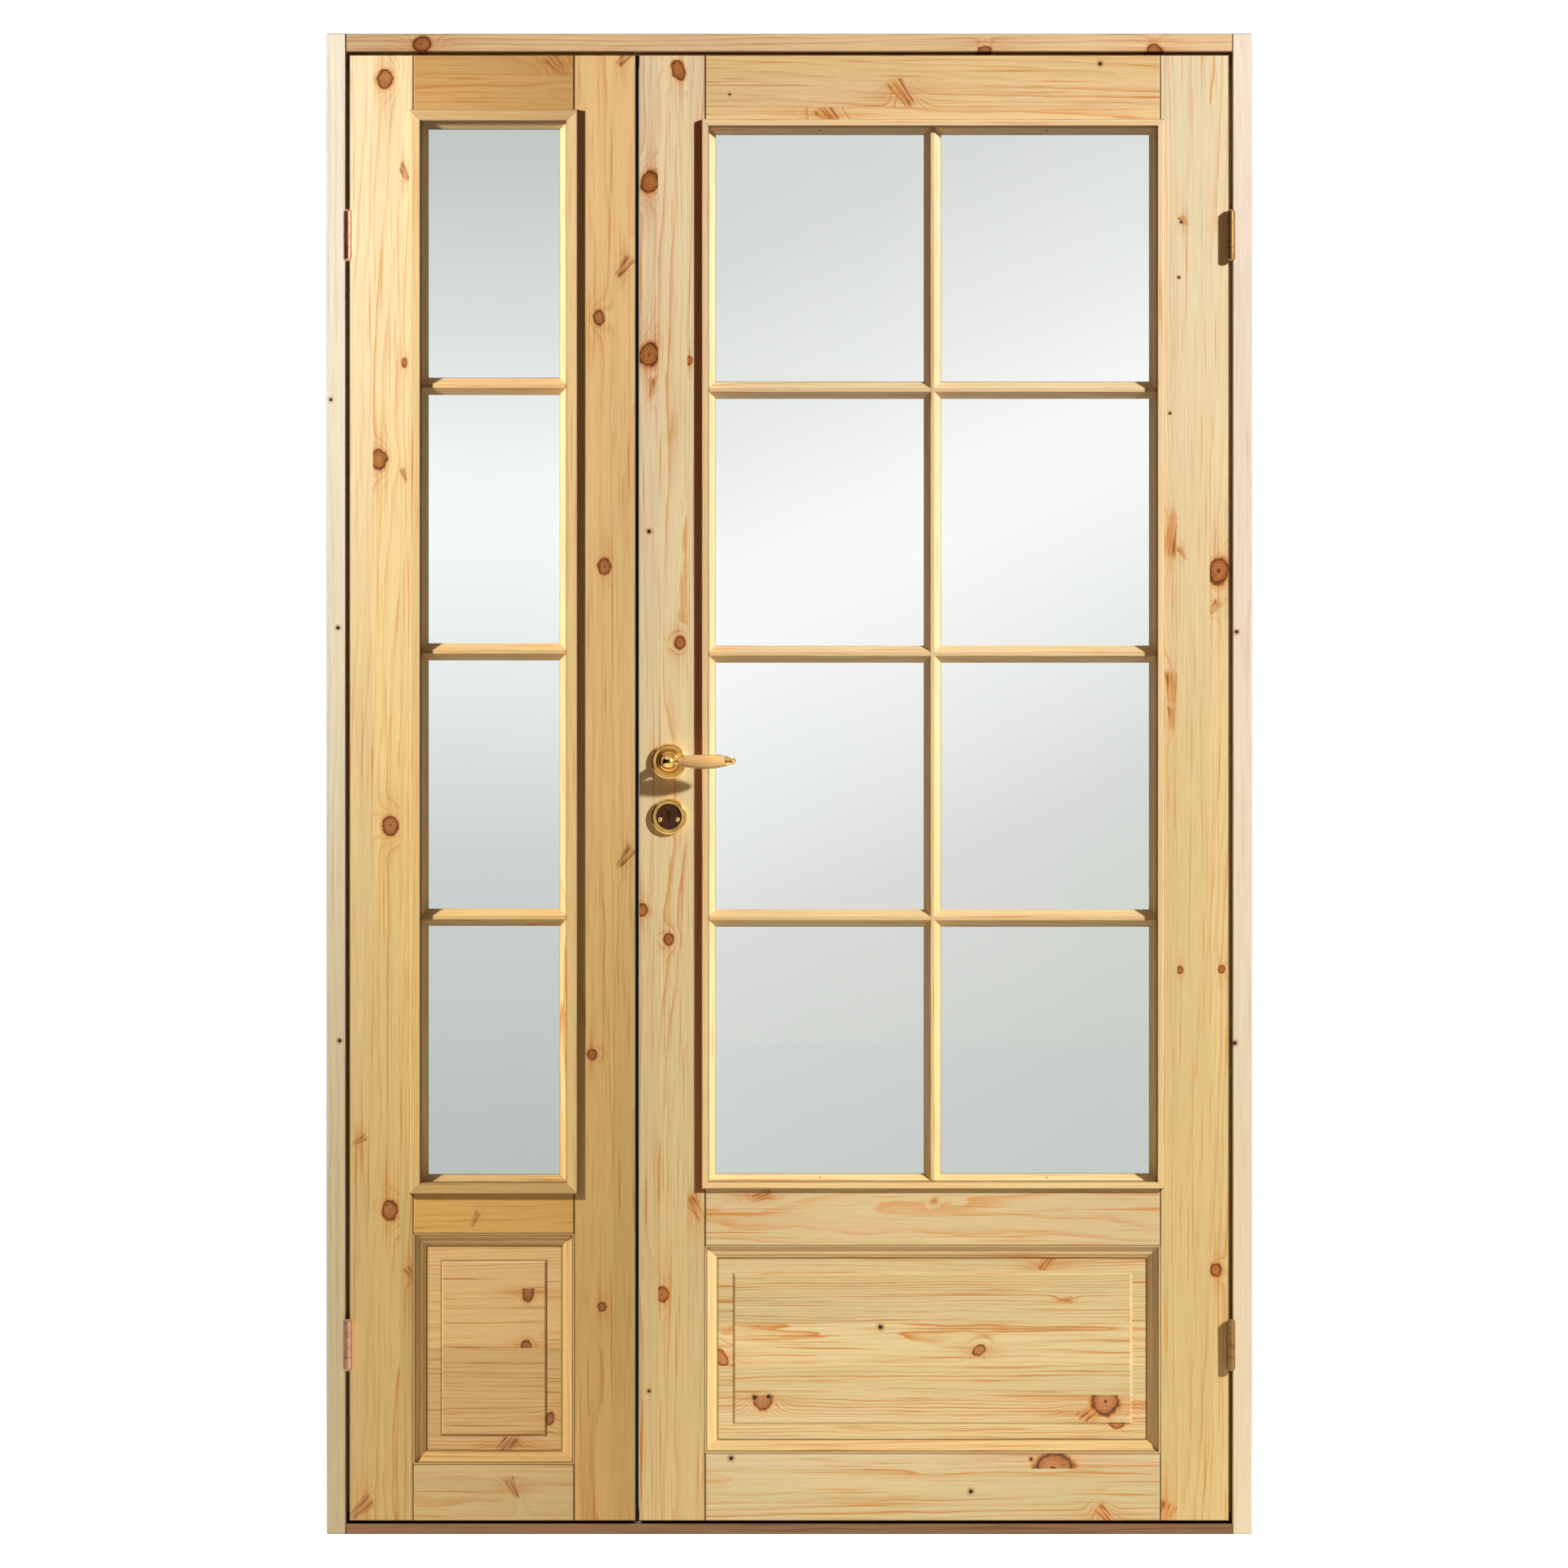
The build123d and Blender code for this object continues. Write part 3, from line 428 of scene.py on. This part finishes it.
pine("active_lock_stile", "Z", srgb(250, 230, 178), active_late, 36.0, foot=0.27, knot_tint=ACTIVE_KNOTS,
     # painted shadow of the glazing bead along the stile's inner edge, reddened
     bead_shadow=(photo_x(857), photo_x(872), photo_z(1470), photo_z(148)),
     strips=[photo_x(811), photo_x(847)],
     knots=knots_at((836, 84, 8, 1.5, -20), (801, 222, 11, 1.25, 20), (800, 436, 12, 1.3, 15),
                    (849, 443, 4, 1.4, 0), (838, 791, 7), (791, 1122, 7), (824, 1158, 6),
                    (816, 1597, 8)),
     flames=knots_at((857, 1490, 8, 2.6, -30), (803, 478, 4, 4.0, 6)), flame_colours=GOLD_FLAME,
     dots=dots_at((800, 654, 2.4), (800, 1716, 2.0)))
pine("active_hinge_stile", "Z", srgb(242, 217, 154), active_late, 40.0, foot=0.12, crown=0.34,
     knot_tint=ACTIVE_KNOTS,
     strips=[photo_x(1450), photo_x(1490)],
     knots=knots_at((1501, 703, 12, 1.4, 10), (1497, 1566, 7), (1505, 1195, 4), (1453, 1196, 4)),
     flames=knots_at((1458, 270, 4, 2.0, -30), (1443, 657, 7, 4.6, 188), (1456, 681, 3, 3.5, -30),
                     (1443, 848, 7, 3.4, 0), (1443, 884, 4, 4.0, 0), (1437, 1866, 10, 1.5, 20),
                     (1496, 748, 5, 2.0, 40)), flame_colours=GOLD_FLAME,
     dots=dots_at((1455, 272, 1.8), (1452, 340, 1.6), (1441, 508, 1.6)))


# Rails: level members between the stiles, tenoned in, with the grain running across the door. On the
# side leaf they look browner than the stiles.
rail_heart = (0.06, 0.05)
pine("side_top_rail", "X", srgb(210, 164, 98), srgb(190, 118, 50), 50.0, strips=[photo_z(92)],
     heart=rail_heart, flames=knots_at((687, 79, 8, 2.6, -40)))
pine("side_mid_rail", "X", srgb(244, 192, 116), srgb(214, 140, 66), 51.0, heart=rail_heart,
     foot=0.08, flames=knots_at((586, 1503, 3, 4.0, 25)))
pine("side_bottom_rail", "X", srgb(238, 207, 152), side_late, 52.0, strips=[photo_z(1821)],
     heart=rail_heart, foot=0.1, flames=knots_at((632, 1836, 5, 3.2, -25)))
pine("active_top_rail", "X", srgb(246, 214, 148), srgb(220, 144, 60), 53.0, heart=rail_heart, contrast=1.3,
     strips=[photo_z(94), photo_z(130)], flame_colours=GOLD_FLAME,
     flames=knots_at((1111, 112, 9, 2.6, -35), (1020, 139, 11, 1.5, -41)),
     dots=dots_at((1355, 76, 2.4), (899, 114, 1.4)))
pine("active_mid_rail", "X", srgb(234, 211, 161), active_late, 57.0, heart=rail_heart, foot=0.08,
     contrast=1.4, flame_colours=GOLD_FLAME,
     flames=knots_at((938, 1475, 6, 2.4, 70), (1150, 1482, 3, 1.6, 60)))
pine("active_bottom_rail", "X", srgb(236, 219, 176), active_late, 55.0, heart=rail_heart, foot=0.1,
     contrast=1.2,
     strips=[photo_z(1812), photo_z(1840)], knot_tint=PALE_KNOTS,
     knots=knots_at((1298, 1811, 24, 0.75, 0)),
     flames=knots_at((1360, 1868, 7, 2.2, -40)), flame_colours=GOLD_FLAME,
     dots=dots_at((901, 1799, 2.6), (1196, 1840, 2.6), (1270, 1800, 2.0)))


# Panels: boards glued edge to edge with the grain level, their edges loose in the stiles' grooves
# and a shallow raised field planed on each face.
MOULDING_WIDTH = 0.018
FIELD_MARGIN = 0.021
pine("side_panel", "X", srgb(246, 206, 146), srgb(206, 132, 62), 60.0, heart=rail_heart, foot=0.1,
     strips=[photo_z(1590), photo_z(1664), photo_z(1733), photo_z(1774)],
     knots=knots_at((651, 1592, 7, 2.0, 8), (649, 1662, 6, 1.4, 0), (678, 1751, 5, 1.6, 10)),
     flames=knots_at((625, 1783, 10, 1.7, 45)), crease_box=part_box("side_panel_mouldings"),
     creases=(MOULDING_WIDTH, MOULDING_WIDTH + FIELD_MARGIN))
pine("active_panel", "X", srgb(240, 220, 170), srgb(220, 146, 72), 70.0, heart=rail_heart, foot=0.06,
     ring_gap=0.0034, contrast=1.4, creases=(MOULDING_WIDTH,), crease_box=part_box("active_panel_mouldings"),
     strips=[photo_z(1568), photo_z(1634), photo_z(1686), photo_z(1722), photo_z(1756)],
     knots=knots_at((940, 1727, 12, 1.1, 0), (1362, 1730, 17, 1.0, 30), (1206, 1667, 6, 1.4, 50),
                    (1376, 1757, 9, 0.8, 0), (888, 1676, 7, 1.6, -30)), knot_tint=PALE_KNOTS,
     flames=knots_at((1288, 1559, 7, 2.2, 33), (1312, 1604, 3, 3.6, 90), (1345, 1746, 12, 1.4, 225),
                     (1235, 1640, 2, 72.0, 90)),
     flame_colours=GOLD_FLAME,
     dots=dots_at((1085, 1638, 2.8), (930, 1725, 2.6), (947, 1724, 2.4)))


# Panel mouldings: ogee strips of pine, mitred at the corners and pinned round both faces of a panel.
# The crease insets are painted shade: dark lines along the mouldings' edges and quirk
moulding_creases = (0.0, 0.003, MOULDING_WIDTH)
pine("side_panel_mouldings", "ring", side_early, side_late, 80.0, ring_gap=0.003, foot=0.08,
     creases=moulding_creases)
pine("active_panel_mouldings", "ring", active_early, active_late, 82.0, ring_gap=0.003,
     foot=0.1, creases=moulding_creases)


# Glazing beads and bars: proud beads lapped round the glass and bars coped between them, all of
# clear straight-grained pine.
# The crease insets are painted shade: dark lines along the beads' outer edges, quirks and glass edges
SIDE_CREASES = (0.0, 0.0162, 0.0262)
ACTIVE_CREASES = (0.0, 0.0102, 0.0202)
pine("side_glazing_beads", "ring", srgb(246, 212, 148), side_late, 90.0, ring_gap=0.003,
     level=0.22, creases=SIDE_CREASES)
pine("active_glazing_beads", "ring", active_early, active_late, 92.0, ring_gap=0.003,
     creases=ACTIVE_CREASES)
pine("side_cross_bars", "X", side_early, side_late, 94.0, ring_gap=0.003)
pine("active_cross_bars", "X", active_early, active_late, 95.0, ring_gap=0.003)
pine("active_upright_bars", "Z", active_early, active_late, 96.0, ring_gap=0.003)


# Bead pins: fine round-headed steel pins that hold the active leaf's beads, punched just below the wood.
def worn_metal(name, colour, dark, roughness, wear):
    """Metal with faint smears of tarnish and fine brushing."""
    material, v, shader, place = new_material(name)
    cloud = v.noise(v.vector_math("MULTIPLY", place, (90, 90, 90)), 4.0, 0.6)
    brush = v.noise(v.vector_math("MULTIPLY", place, (900, 900, 120)), 2.0)
    tarnish = v.fade(cloud, 0.45, 0.75) * wear
    v.tree.links.new(v.mix(tarnish, colour, dark).socket, shader.inputs["Base Color"])
    v.tree.links.new((roughness + tarnish * 0.25 + (brush - 0.5) * 0.08).socket, shader.inputs["Roughness"])
    shader.inputs["Metallic"].default_value = 1.0
    return material


def stud(shape, radius, rise, place, facing):
    """Add a round head with an eased rim and a sunk middle, at a place on a face, facing outwards."""
    turn = Vector((0, 0, 1)).rotation_difference(Vector(facing)).to_matrix().to_4x4()
    made = bmesh.ops.create_circle(shape, cap_ends=True, segments=14, radius=radius,
                                   matrix=Matrix.Translation(place) @ turn)
    face = made["verts"][0].link_faces[0]
    if face.normal.dot(Vector(facing)) < 0:
        face.normal_flip()
    out = Vector(facing).normalized()
    rim = bmesh.ops.extrude_face_region(shape, geom=[face])
    top = [item for item in rim["geom"] if isinstance(item, bmesh.types.BMFace)][0]
    bmesh.ops.translate(shape, verts=list(top.verts), vec=out * rise)
    bmesh.ops.inset_region(shape, faces=[top], thickness=radius * 0.22, depth=rise * 0.4)
    bmesh.ops.inset_region(shape, faces=[top], thickness=radius * 0.34, depth=0.0)
    bmesh.ops.inset_region(shape, faces=[top], thickness=radius * 0.04, depth=-rise * 1.2)


def keep_piece(name, shape, material, body):
    """Make a shaped mesh into a piece that rides on a body of the door."""
    bmesh.ops.recalc_face_normals(shape, faces=shape.faces[:])
    mesh = bpy.data.meshes.new(name)
    shape.to_mesh(mesh)
    shape.free()
    mesh.materials.append(material)
    piece = bpy.data.objects.new(name, mesh)
    bpy.context.scene.collection.objects.link(piece)
    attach(piece, body)
    return piece


PIN_RADIUS = 0.0011
PIN_RISE = 0.0003
pin_steel = worn_metal("pin steel", srgb(74, 58, 44), srgb(40, 30, 22), 0.5, 0.8)
beads = nodes["active_glazing_beads"]
pins = bmesh.new()
for pin_x in (photo_x(1010), photo_x(1290)):
    for pin_z in (photo_z(158), photo_z(1453)):
        for side in (-1, 1):
            _, point, normal, _ = beads.ray_cast(Vector((pin_x, side, pin_z)), Vector((0, -side, 0)))
            stud(pins, PIN_RADIUS, PIN_RISE, point, normal)
keep_piece("bead_pins", pins, pin_steel, "active_leaf")


# Glass: one clear sheet to a leaf, very faintly grey-green, its tint drifting a little across the sheet.
glass, v, shader, place = new_material("pane glass")
haze = v.noise(v.vector_math("MULTIPLY", place, (3, 3, 1.2)), 2.0)
v.tree.links.new(v.mix(haze, srgb(240, 246, 243), srgb(248, 250, 249)).socket, shader.inputs["Base Color"])
shader.inputs["Transmission Weight"].default_value = 1.0
shader.inputs["Roughness"].default_value = 0.0
shader.inputs["IOR"].default_value = 1.45
for node in ("side_glass", "active_glass"):
    dress(node, glass)


# Hinges: butt hinges of browned brass with turned barrels, their plates let in flush and each held
# by three countersunk screws.
hinge_brass = worn_metal("browned brass", srgb(196, 150, 122), srgb(110, 70, 48), 0.34, 0.7)
shaded_hinge_brass = worn_metal("aged brass", srgb(150, 116, 68), srgb(74, 52, 26), 0.34, 0.7)
# Painted shade: the active leaf's hinges take a darker, olive copy of the hinge brass
for half in ("hinge_frame_halves", "hinge_leaf_halves"):
    dress(f"side_{half}", hinge_brass)
    dress(f"active_{half}", shaded_hinge_brass)

HINGE_SCREW = 0.0034
SCREW_RISE = 0.0004
PLATE_FRONT = -0.046
PLATE_BACK = -0.018
JAMB_FACE = 0.617
LEAF_EDGE = 0.612
HINGE_HALF = 0.036
plate_y = (PLATE_FRONT + PLATE_BACK) / 2
for leaf, hand, body in (("side", -1, "side_leaf"), ("active", 1, "active_leaf")):
    barrel_low, barrel_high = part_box(f"{leaf}_hinge_frame_halves")
    for piece_body, face_x, facing in (("frame", JAMB_FACE * hand, -hand), (body, LEAF_EDGE * hand, hand)):
        screws = bmesh.new()
        for middle in (barrel_low.z + HINGE_HALF, barrel_high.z - HINGE_HALF):
            for step, shift in ((-0.024, -0.005), (0.0, 0.006), (0.024, -0.005)):
                head = (face_x, plate_y + shift, middle + step)
                stud(screws, HINGE_SCREW, SCREW_RISE, head, (facing, 0, 0))
        keep_piece(f"{leaf}_hinge_screws_{piece_body}", screws, hinge_brass, piece_body)


# Meeting seal: a black rubber strip in the side leaf's edge that closes the gap between the leaves.
seal_rubber, v, shader, place = new_material("seal rubber")
grit = v.noise(v.vector_math("MULTIPLY", place, (700, 700, 200)), 3.0)
v.tree.links.new(v.mix(grit, srgb(20, 17, 15), srgb(38, 33, 29)).socket, shader.inputs["Base Color"])
v.tree.links.new((0.75 + grit * 0.2).socket, shader.inputs["Roughness"])
dress("side_meeting_seal", seal_rubber)


# Lock furniture in the edges: steel plates let in flush with a screw at each end, the bolts drawn
# back level with them.
lock_steel = worn_metal("lock steel", srgb(190, 188, 182), srgb(120, 116, 108), 0.3, 0.5)
for node in ("strike_plate", "lock_forend", "lock_bolts", "spindle"):
    dress(node, lock_steel)
LOCK_SCREW = 0.0036
LOCK_SCREW_INSET = 0.011
for plate, body, facing in (("strike_plate", "side_leaf", 1), ("lock_forend", "active_leaf", -1)):
    plate_low, plate_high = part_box(plate)
    face_x = plate_high.x if facing > 0 else plate_low.x
    screws = bmesh.new()
    for screw_z in (plate_low.z + LOCK_SCREW_INSET, plate_high.z - LOCK_SCREW_INSET):
        head = (face_x, (plate_low.y + plate_high.y) / 2, screw_z)
        stud(screws, LOCK_SCREW, SCREW_RISE, head, (facing, 0, 0))
    keep_piece(f"{plate}_screws", screws, lock_steel, body)


# Handle set: polished brass roses, necks and caps with turned pine grips, and a key escutcheon
# whose dark insert holds the keyhole and two bright screws.
handle_brass = worn_metal("polished brass", srgb(232, 188, 108), srgb(166, 116, 54), 0.12, 0.4)
for node in ("handle_roses", "escutcheons", "front_lever", "back_lever", "grip_caps"):
    dress(node, handle_brass)
dress("escutcheon_inserts", worn_metal("dark brass", srgb(96, 66, 50), srgb(60, 40, 30), 0.45, 0.8))
for node, seed in (("front_grip", 97.0), ("back_grip", 98.0)):
    pine(node, "X", srgb(255, 208, 134), srgb(234, 162, 86), seed, ring_gap=0.0025, heart=(0.01, 0.02),
         contrast=0.6, gloss=0.28)

KEY_SCREW = 0.003
KEY_SCREW_RISE = 0.0008
KEY_SCREW_ASIDE = 0.0122
KEY_SCREW_DROP = 0.004
insert_low, insert_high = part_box("escutcheon_inserts")
key_x = (insert_low.x + insert_high.x) / 2
key_z = (insert_low.z + insert_high.z) / 2
screws = bmesh.new()
for face_y, facing in ((insert_low.y, -1), (insert_high.y, 1)):
    for side in (-1, 1):
        head = (key_x + side * KEY_SCREW_ASIDE, face_y, key_z - KEY_SCREW_DROP)
        stud(screws, KEY_SCREW, KEY_SCREW_RISE, head, (0, facing, 0))
key_screws = keep_piece("escutcheon_screws", screws, handle_brass, "active_leaf")


# Studio: a pale floor under a white backdrop. Each leaf has its own small lamp, high on its outer
# side, as the photograph shows them lit, and the brass a weak one. A wide soft lamp in front and one
# behind fill the rest.
world = bpy.data.worlds.new("studio")
bpy.context.scene.world = world
world.use_nodes = True


def seen_directly(v):
    """1 for what the camera sees itself, in metal or through glass, and 0 for light that falls on things."""
    path = v.node("ShaderNodeLightPath", {}, {}).socket.node.outputs
    names = ("Is Camera Ray", "Is Glossy Ray", "Is Transmission Ray")
    camera_ray, glossy, through = [Value(v.tree, path[name]) for name in names]
    return v.math("MINIMUM", 1.0, camera_ray + glossy + through)


AMBIENT = (0.06, 0.03, 0.014, 1.0)
WHITE = (1.0, 1.0, 1.0, 1.0)
v = Value(world.node_tree)
backdrop = world.node_tree.nodes["Background"]
v.tree.links.new(v.mix(seen_directly(v), AMBIENT, WHITE).socket, backdrop.inputs["Color"])

floor_mesh = bpy.data.meshes.new("studio floor")
sheet = bmesh.new()
bmesh.ops.create_grid(sheet, x_segments=1, y_segments=1, size=6.0)
sheet.to_mesh(floor_mesh)
sheet.free()
floor = bpy.data.objects.new("studio_floor", floor_mesh)
bpy.context.scene.collection.objects.link(floor)
floor_paper, v, shader, place = new_material("floor paper")
speck = v.noise(v.vector_math("MULTIPLY", place, (6, 6, 6)), 2.0)
away = v.fade(v.vector_math("LENGTH", place, (0, 0, 0), 1), 0.5, 2.2)
paper = v.mix(speck, srgb(188, 188, 186), srgb(196, 196, 194))
glow = seen_directly(v) * (0.8 + away * 0.2)
v.tree.links.new(v.mix(away, paper, (0.0, 0.0, 0.0, 1.0)).socket, shader.inputs["Base Color"])
v.tree.links.new(v.combine(glow, glow, glow).socket, shader.inputs["Emission Color"])
shader.inputs["Emission Strength"].default_value = 1.0
shader.inputs["Roughness"].default_value = 0.9
shader.inputs["Specular IOR Level"].default_value = 0.0
floor_mesh.materials.append(floor_paper)
floor.visible_transmission = False


def hang_card(name, material, width, height, place, turn, seen_by):
    """A plain upright card, turned about its middle, that only one kind of ray sees."""
    mesh = bpy.data.meshes.new(name)
    card = bmesh.new()
    upright = Matrix.Rotation(math.radians(turn), 4, "Z") @ Matrix.Rotation(math.radians(90), 4, "X")
    size = Matrix.Diagonal((width / 2, height / 2, 1.0, 1.0))
    bmesh.ops.create_grid(card, x_segments=1, y_segments=1, size=1.0,
                          matrix=Matrix.Translation(place) @ upright @ size)
    card.to_mesh(mesh)
    card.free()
    mesh.materials.append(material)
    piece = bpy.data.objects.new(name, mesh)
    bpy.context.scene.collection.objects.link(piece)
    for ray in ("camera", "diffuse", "glossy", "transmission", "shadow"):
        setattr(piece, f"visible_{ray}", ray == seen_by)


# Painted shade in the panes: a glowing card seen only through the glass, grey in soft bands that fall off up
# and down from the second row of panes
pane_shade_glow, v, shader, place = new_material("sweep paper")
across, _, height = v.split("ShaderNodeSeparateXYZ", place)
active_side = v.fade(across, -0.3, -0.2)
height = height + active_side * (0.112 - across * 0.442)
painted_pane_shade = v.ramp(height / 2.4, [(0.138, (0.5, 0.48, 0.5, 1)), (0.205, (0.48, 0.46, 0.48, 1)),
                             (0.382, (0.36, 0.35, 0.36, 1)), (0.482, (0.19, 0.18, 0.19, 1)),
                             (0.587, (0.03, 0.04, 0.01, 1)), (0.635, (0.06, 0.06, 0.05, 1)),
                             (0.712, (0.23, 0.22, 0.22, 1)), (0.836, (0.43, 0.41, 0.42, 1)),
                             (0.951, (0.5, 0.47, 0.49, 1))])
amount = 1 - active_side * (0.17 + v.fade(height, 1.1, 1.7) * 0.11)
grey = v.mix(amount, WHITE, v.mix(1.0, WHITE, painted_pane_shade, "SUBTRACT"))
v.tree.links.new(grey.socket, shader.inputs["Emission Color"])
shader.inputs["Base Color"].default_value = (0.0, 0.0, 0.0, 1.0)
shader.inputs["Specular IOR Level"].default_value = 0.0
shader.inputs["Emission Strength"].default_value = 1.085
hang_card("paper_sweep", pane_shade_glow, 8.0, 8.0, (0.0, 1.2, 1.0), 0, "transmission")

# Dark flags that lacquer and brass reflect, to the left and round the camera
flag_cloth, v, shader, place = new_material("flag cloth")
weave = v.noise(v.vector_math("MULTIPLY", place, (40, 40, 40)), 2.0)
v.tree.links.new(v.mix(weave, srgb(10, 9, 8), srgb(20, 18, 16)).socket, shader.inputs["Base Color"])
shader.inputs["Roughness"].default_value = 1.0
shader.inputs["Specular IOR Level"].default_value = 0.0
hang_card("front_flag", flag_cloth, 3.2, 3.6, (-0.6, -3.0, 1.2), 0, "glossy")
hang_card("left_flag", flag_cloth, 3.0, 3.6, (-2.2, -1.5, 1.2), 90, "glossy")


def soft_lamp(name, place, target, size, watts, colour, lit=(), shades=()):
    """A square soft box at a place, facing a target. It lights everything, or only the pieces in lit, and
    everything casts its shadow, or only the pieces in shades.
    """
    lamp = bpy.data.lights.new(name, "AREA")
    lamp.shape = "SQUARE"
    lamp.size = size
    lamp.energy = watts
    lamp.color = colour
    holder = bpy.data.objects.new(name, lamp)
    bpy.context.scene.collection.objects.link(holder)
    holder.location = place
    holder.rotation_euler = (Vector(target) - Vector(place)).to_track_quat("-Z", "Y").to_euler()
    if lit:
        group = bpy.data.collections.new(f"lit by {name}")
        for piece in lit:
            group.objects.link(piece)
        holder.light_linking.receiver_collection = group
    if shades:
        group = bpy.data.collections.new(f"shading {name}")
        for piece in shades:
            group.objects.link(piece)
        holder.light_linking.blocker_collection = group


def pieces_on(*bodies):
    """Every piece that rides on the named bodies."""
    return [piece for body in bodies for piece in frame["bodies"][body].children_recursive
            if piece.type == "MESH"]


both = [nodes["threshold"], floor]
side_hinges = [nodes["side_hinge_frame_halves"], nodes["side_hinge_leaf_halves"]]
left_lit = [piece for piece in pieces_on("side_leaf") if piece not in side_hinges] + [nodes["left_jamb"]]
right_lit = pieces_on("active_leaf", "lever") + [nodes["head"], nodes["right_jamb"]] + side_hinges
right_lit.append(nodes["active_hinge_frame_halves"])
left_lit += both
right_lit += both
brass_lit = [nodes[node] for node in ("handle_roses", "escutcheons", "front_lever", "grip_caps")]
brass_lit.append(key_screws)
left_shades = [piece for piece in pieces_on("frame", "side_leaf", "active_leaf", "lever")
               if piece not in side_hinges]
soft_lamp("left_lamp", (-2.4, -1.65, 2.3), (-0.4, 0.0, 1.2), 0.2, 104.0, (1.0, 1.0, 0.98), left_lit,
          left_shades)
soft_lamp("right_lamp", (6.6, -5.1, 4.9), (0.2, 0.0, 1.1), 0.45, 1010.0, (1.0, 1.0, 1.0), right_lit)
soft_lamp("front_lamp", (0.3, -5.0, 1.6), (0.2, 0.0, 0.8), 2.4, 15.0, (1.0, 0.45, 0.2), right_lit)
soft_lamp("brass_lamp", (-0.25, -2.8, 1.0), (-0.17, 0.0, 1.04), 0.5, 0.6, (1.0, 0.97, 0.9), brass_lit)
soft_lamp("back_lamp", (-1.2, 3.4, 3.4), (0.0, 0.0, 1.0), 1.2, 150.0, (1.0, 0.92, 0.8))

PICTURE_WIDTH = 2.183
CAMERA_BACK = 10.0
EYE_HEIGHT = 1.2
camera_data = bpy.data.cameras.new("camera")
camera_data.sensor_width = 36.0
camera_data.lens = camera_data.sensor_width * (CAMERA_BACK - 0.046) / PICTURE_WIDTH
camera_data.shift_y = (photo_z(966) - EYE_HEIGHT) / PICTURE_WIDTH
camera = bpy.data.objects.new("camera", camera_data)
bpy.context.scene.collection.objects.link(camera)
camera.location = (photo_x(966), -CAMERA_BACK, EYE_HEIGHT)
camera.rotation_euler = (math.radians(90), 0.0, 0.0)
bpy.context.scene.camera = camera
bpy.context.scene.view_settings.view_transform = "Standard"
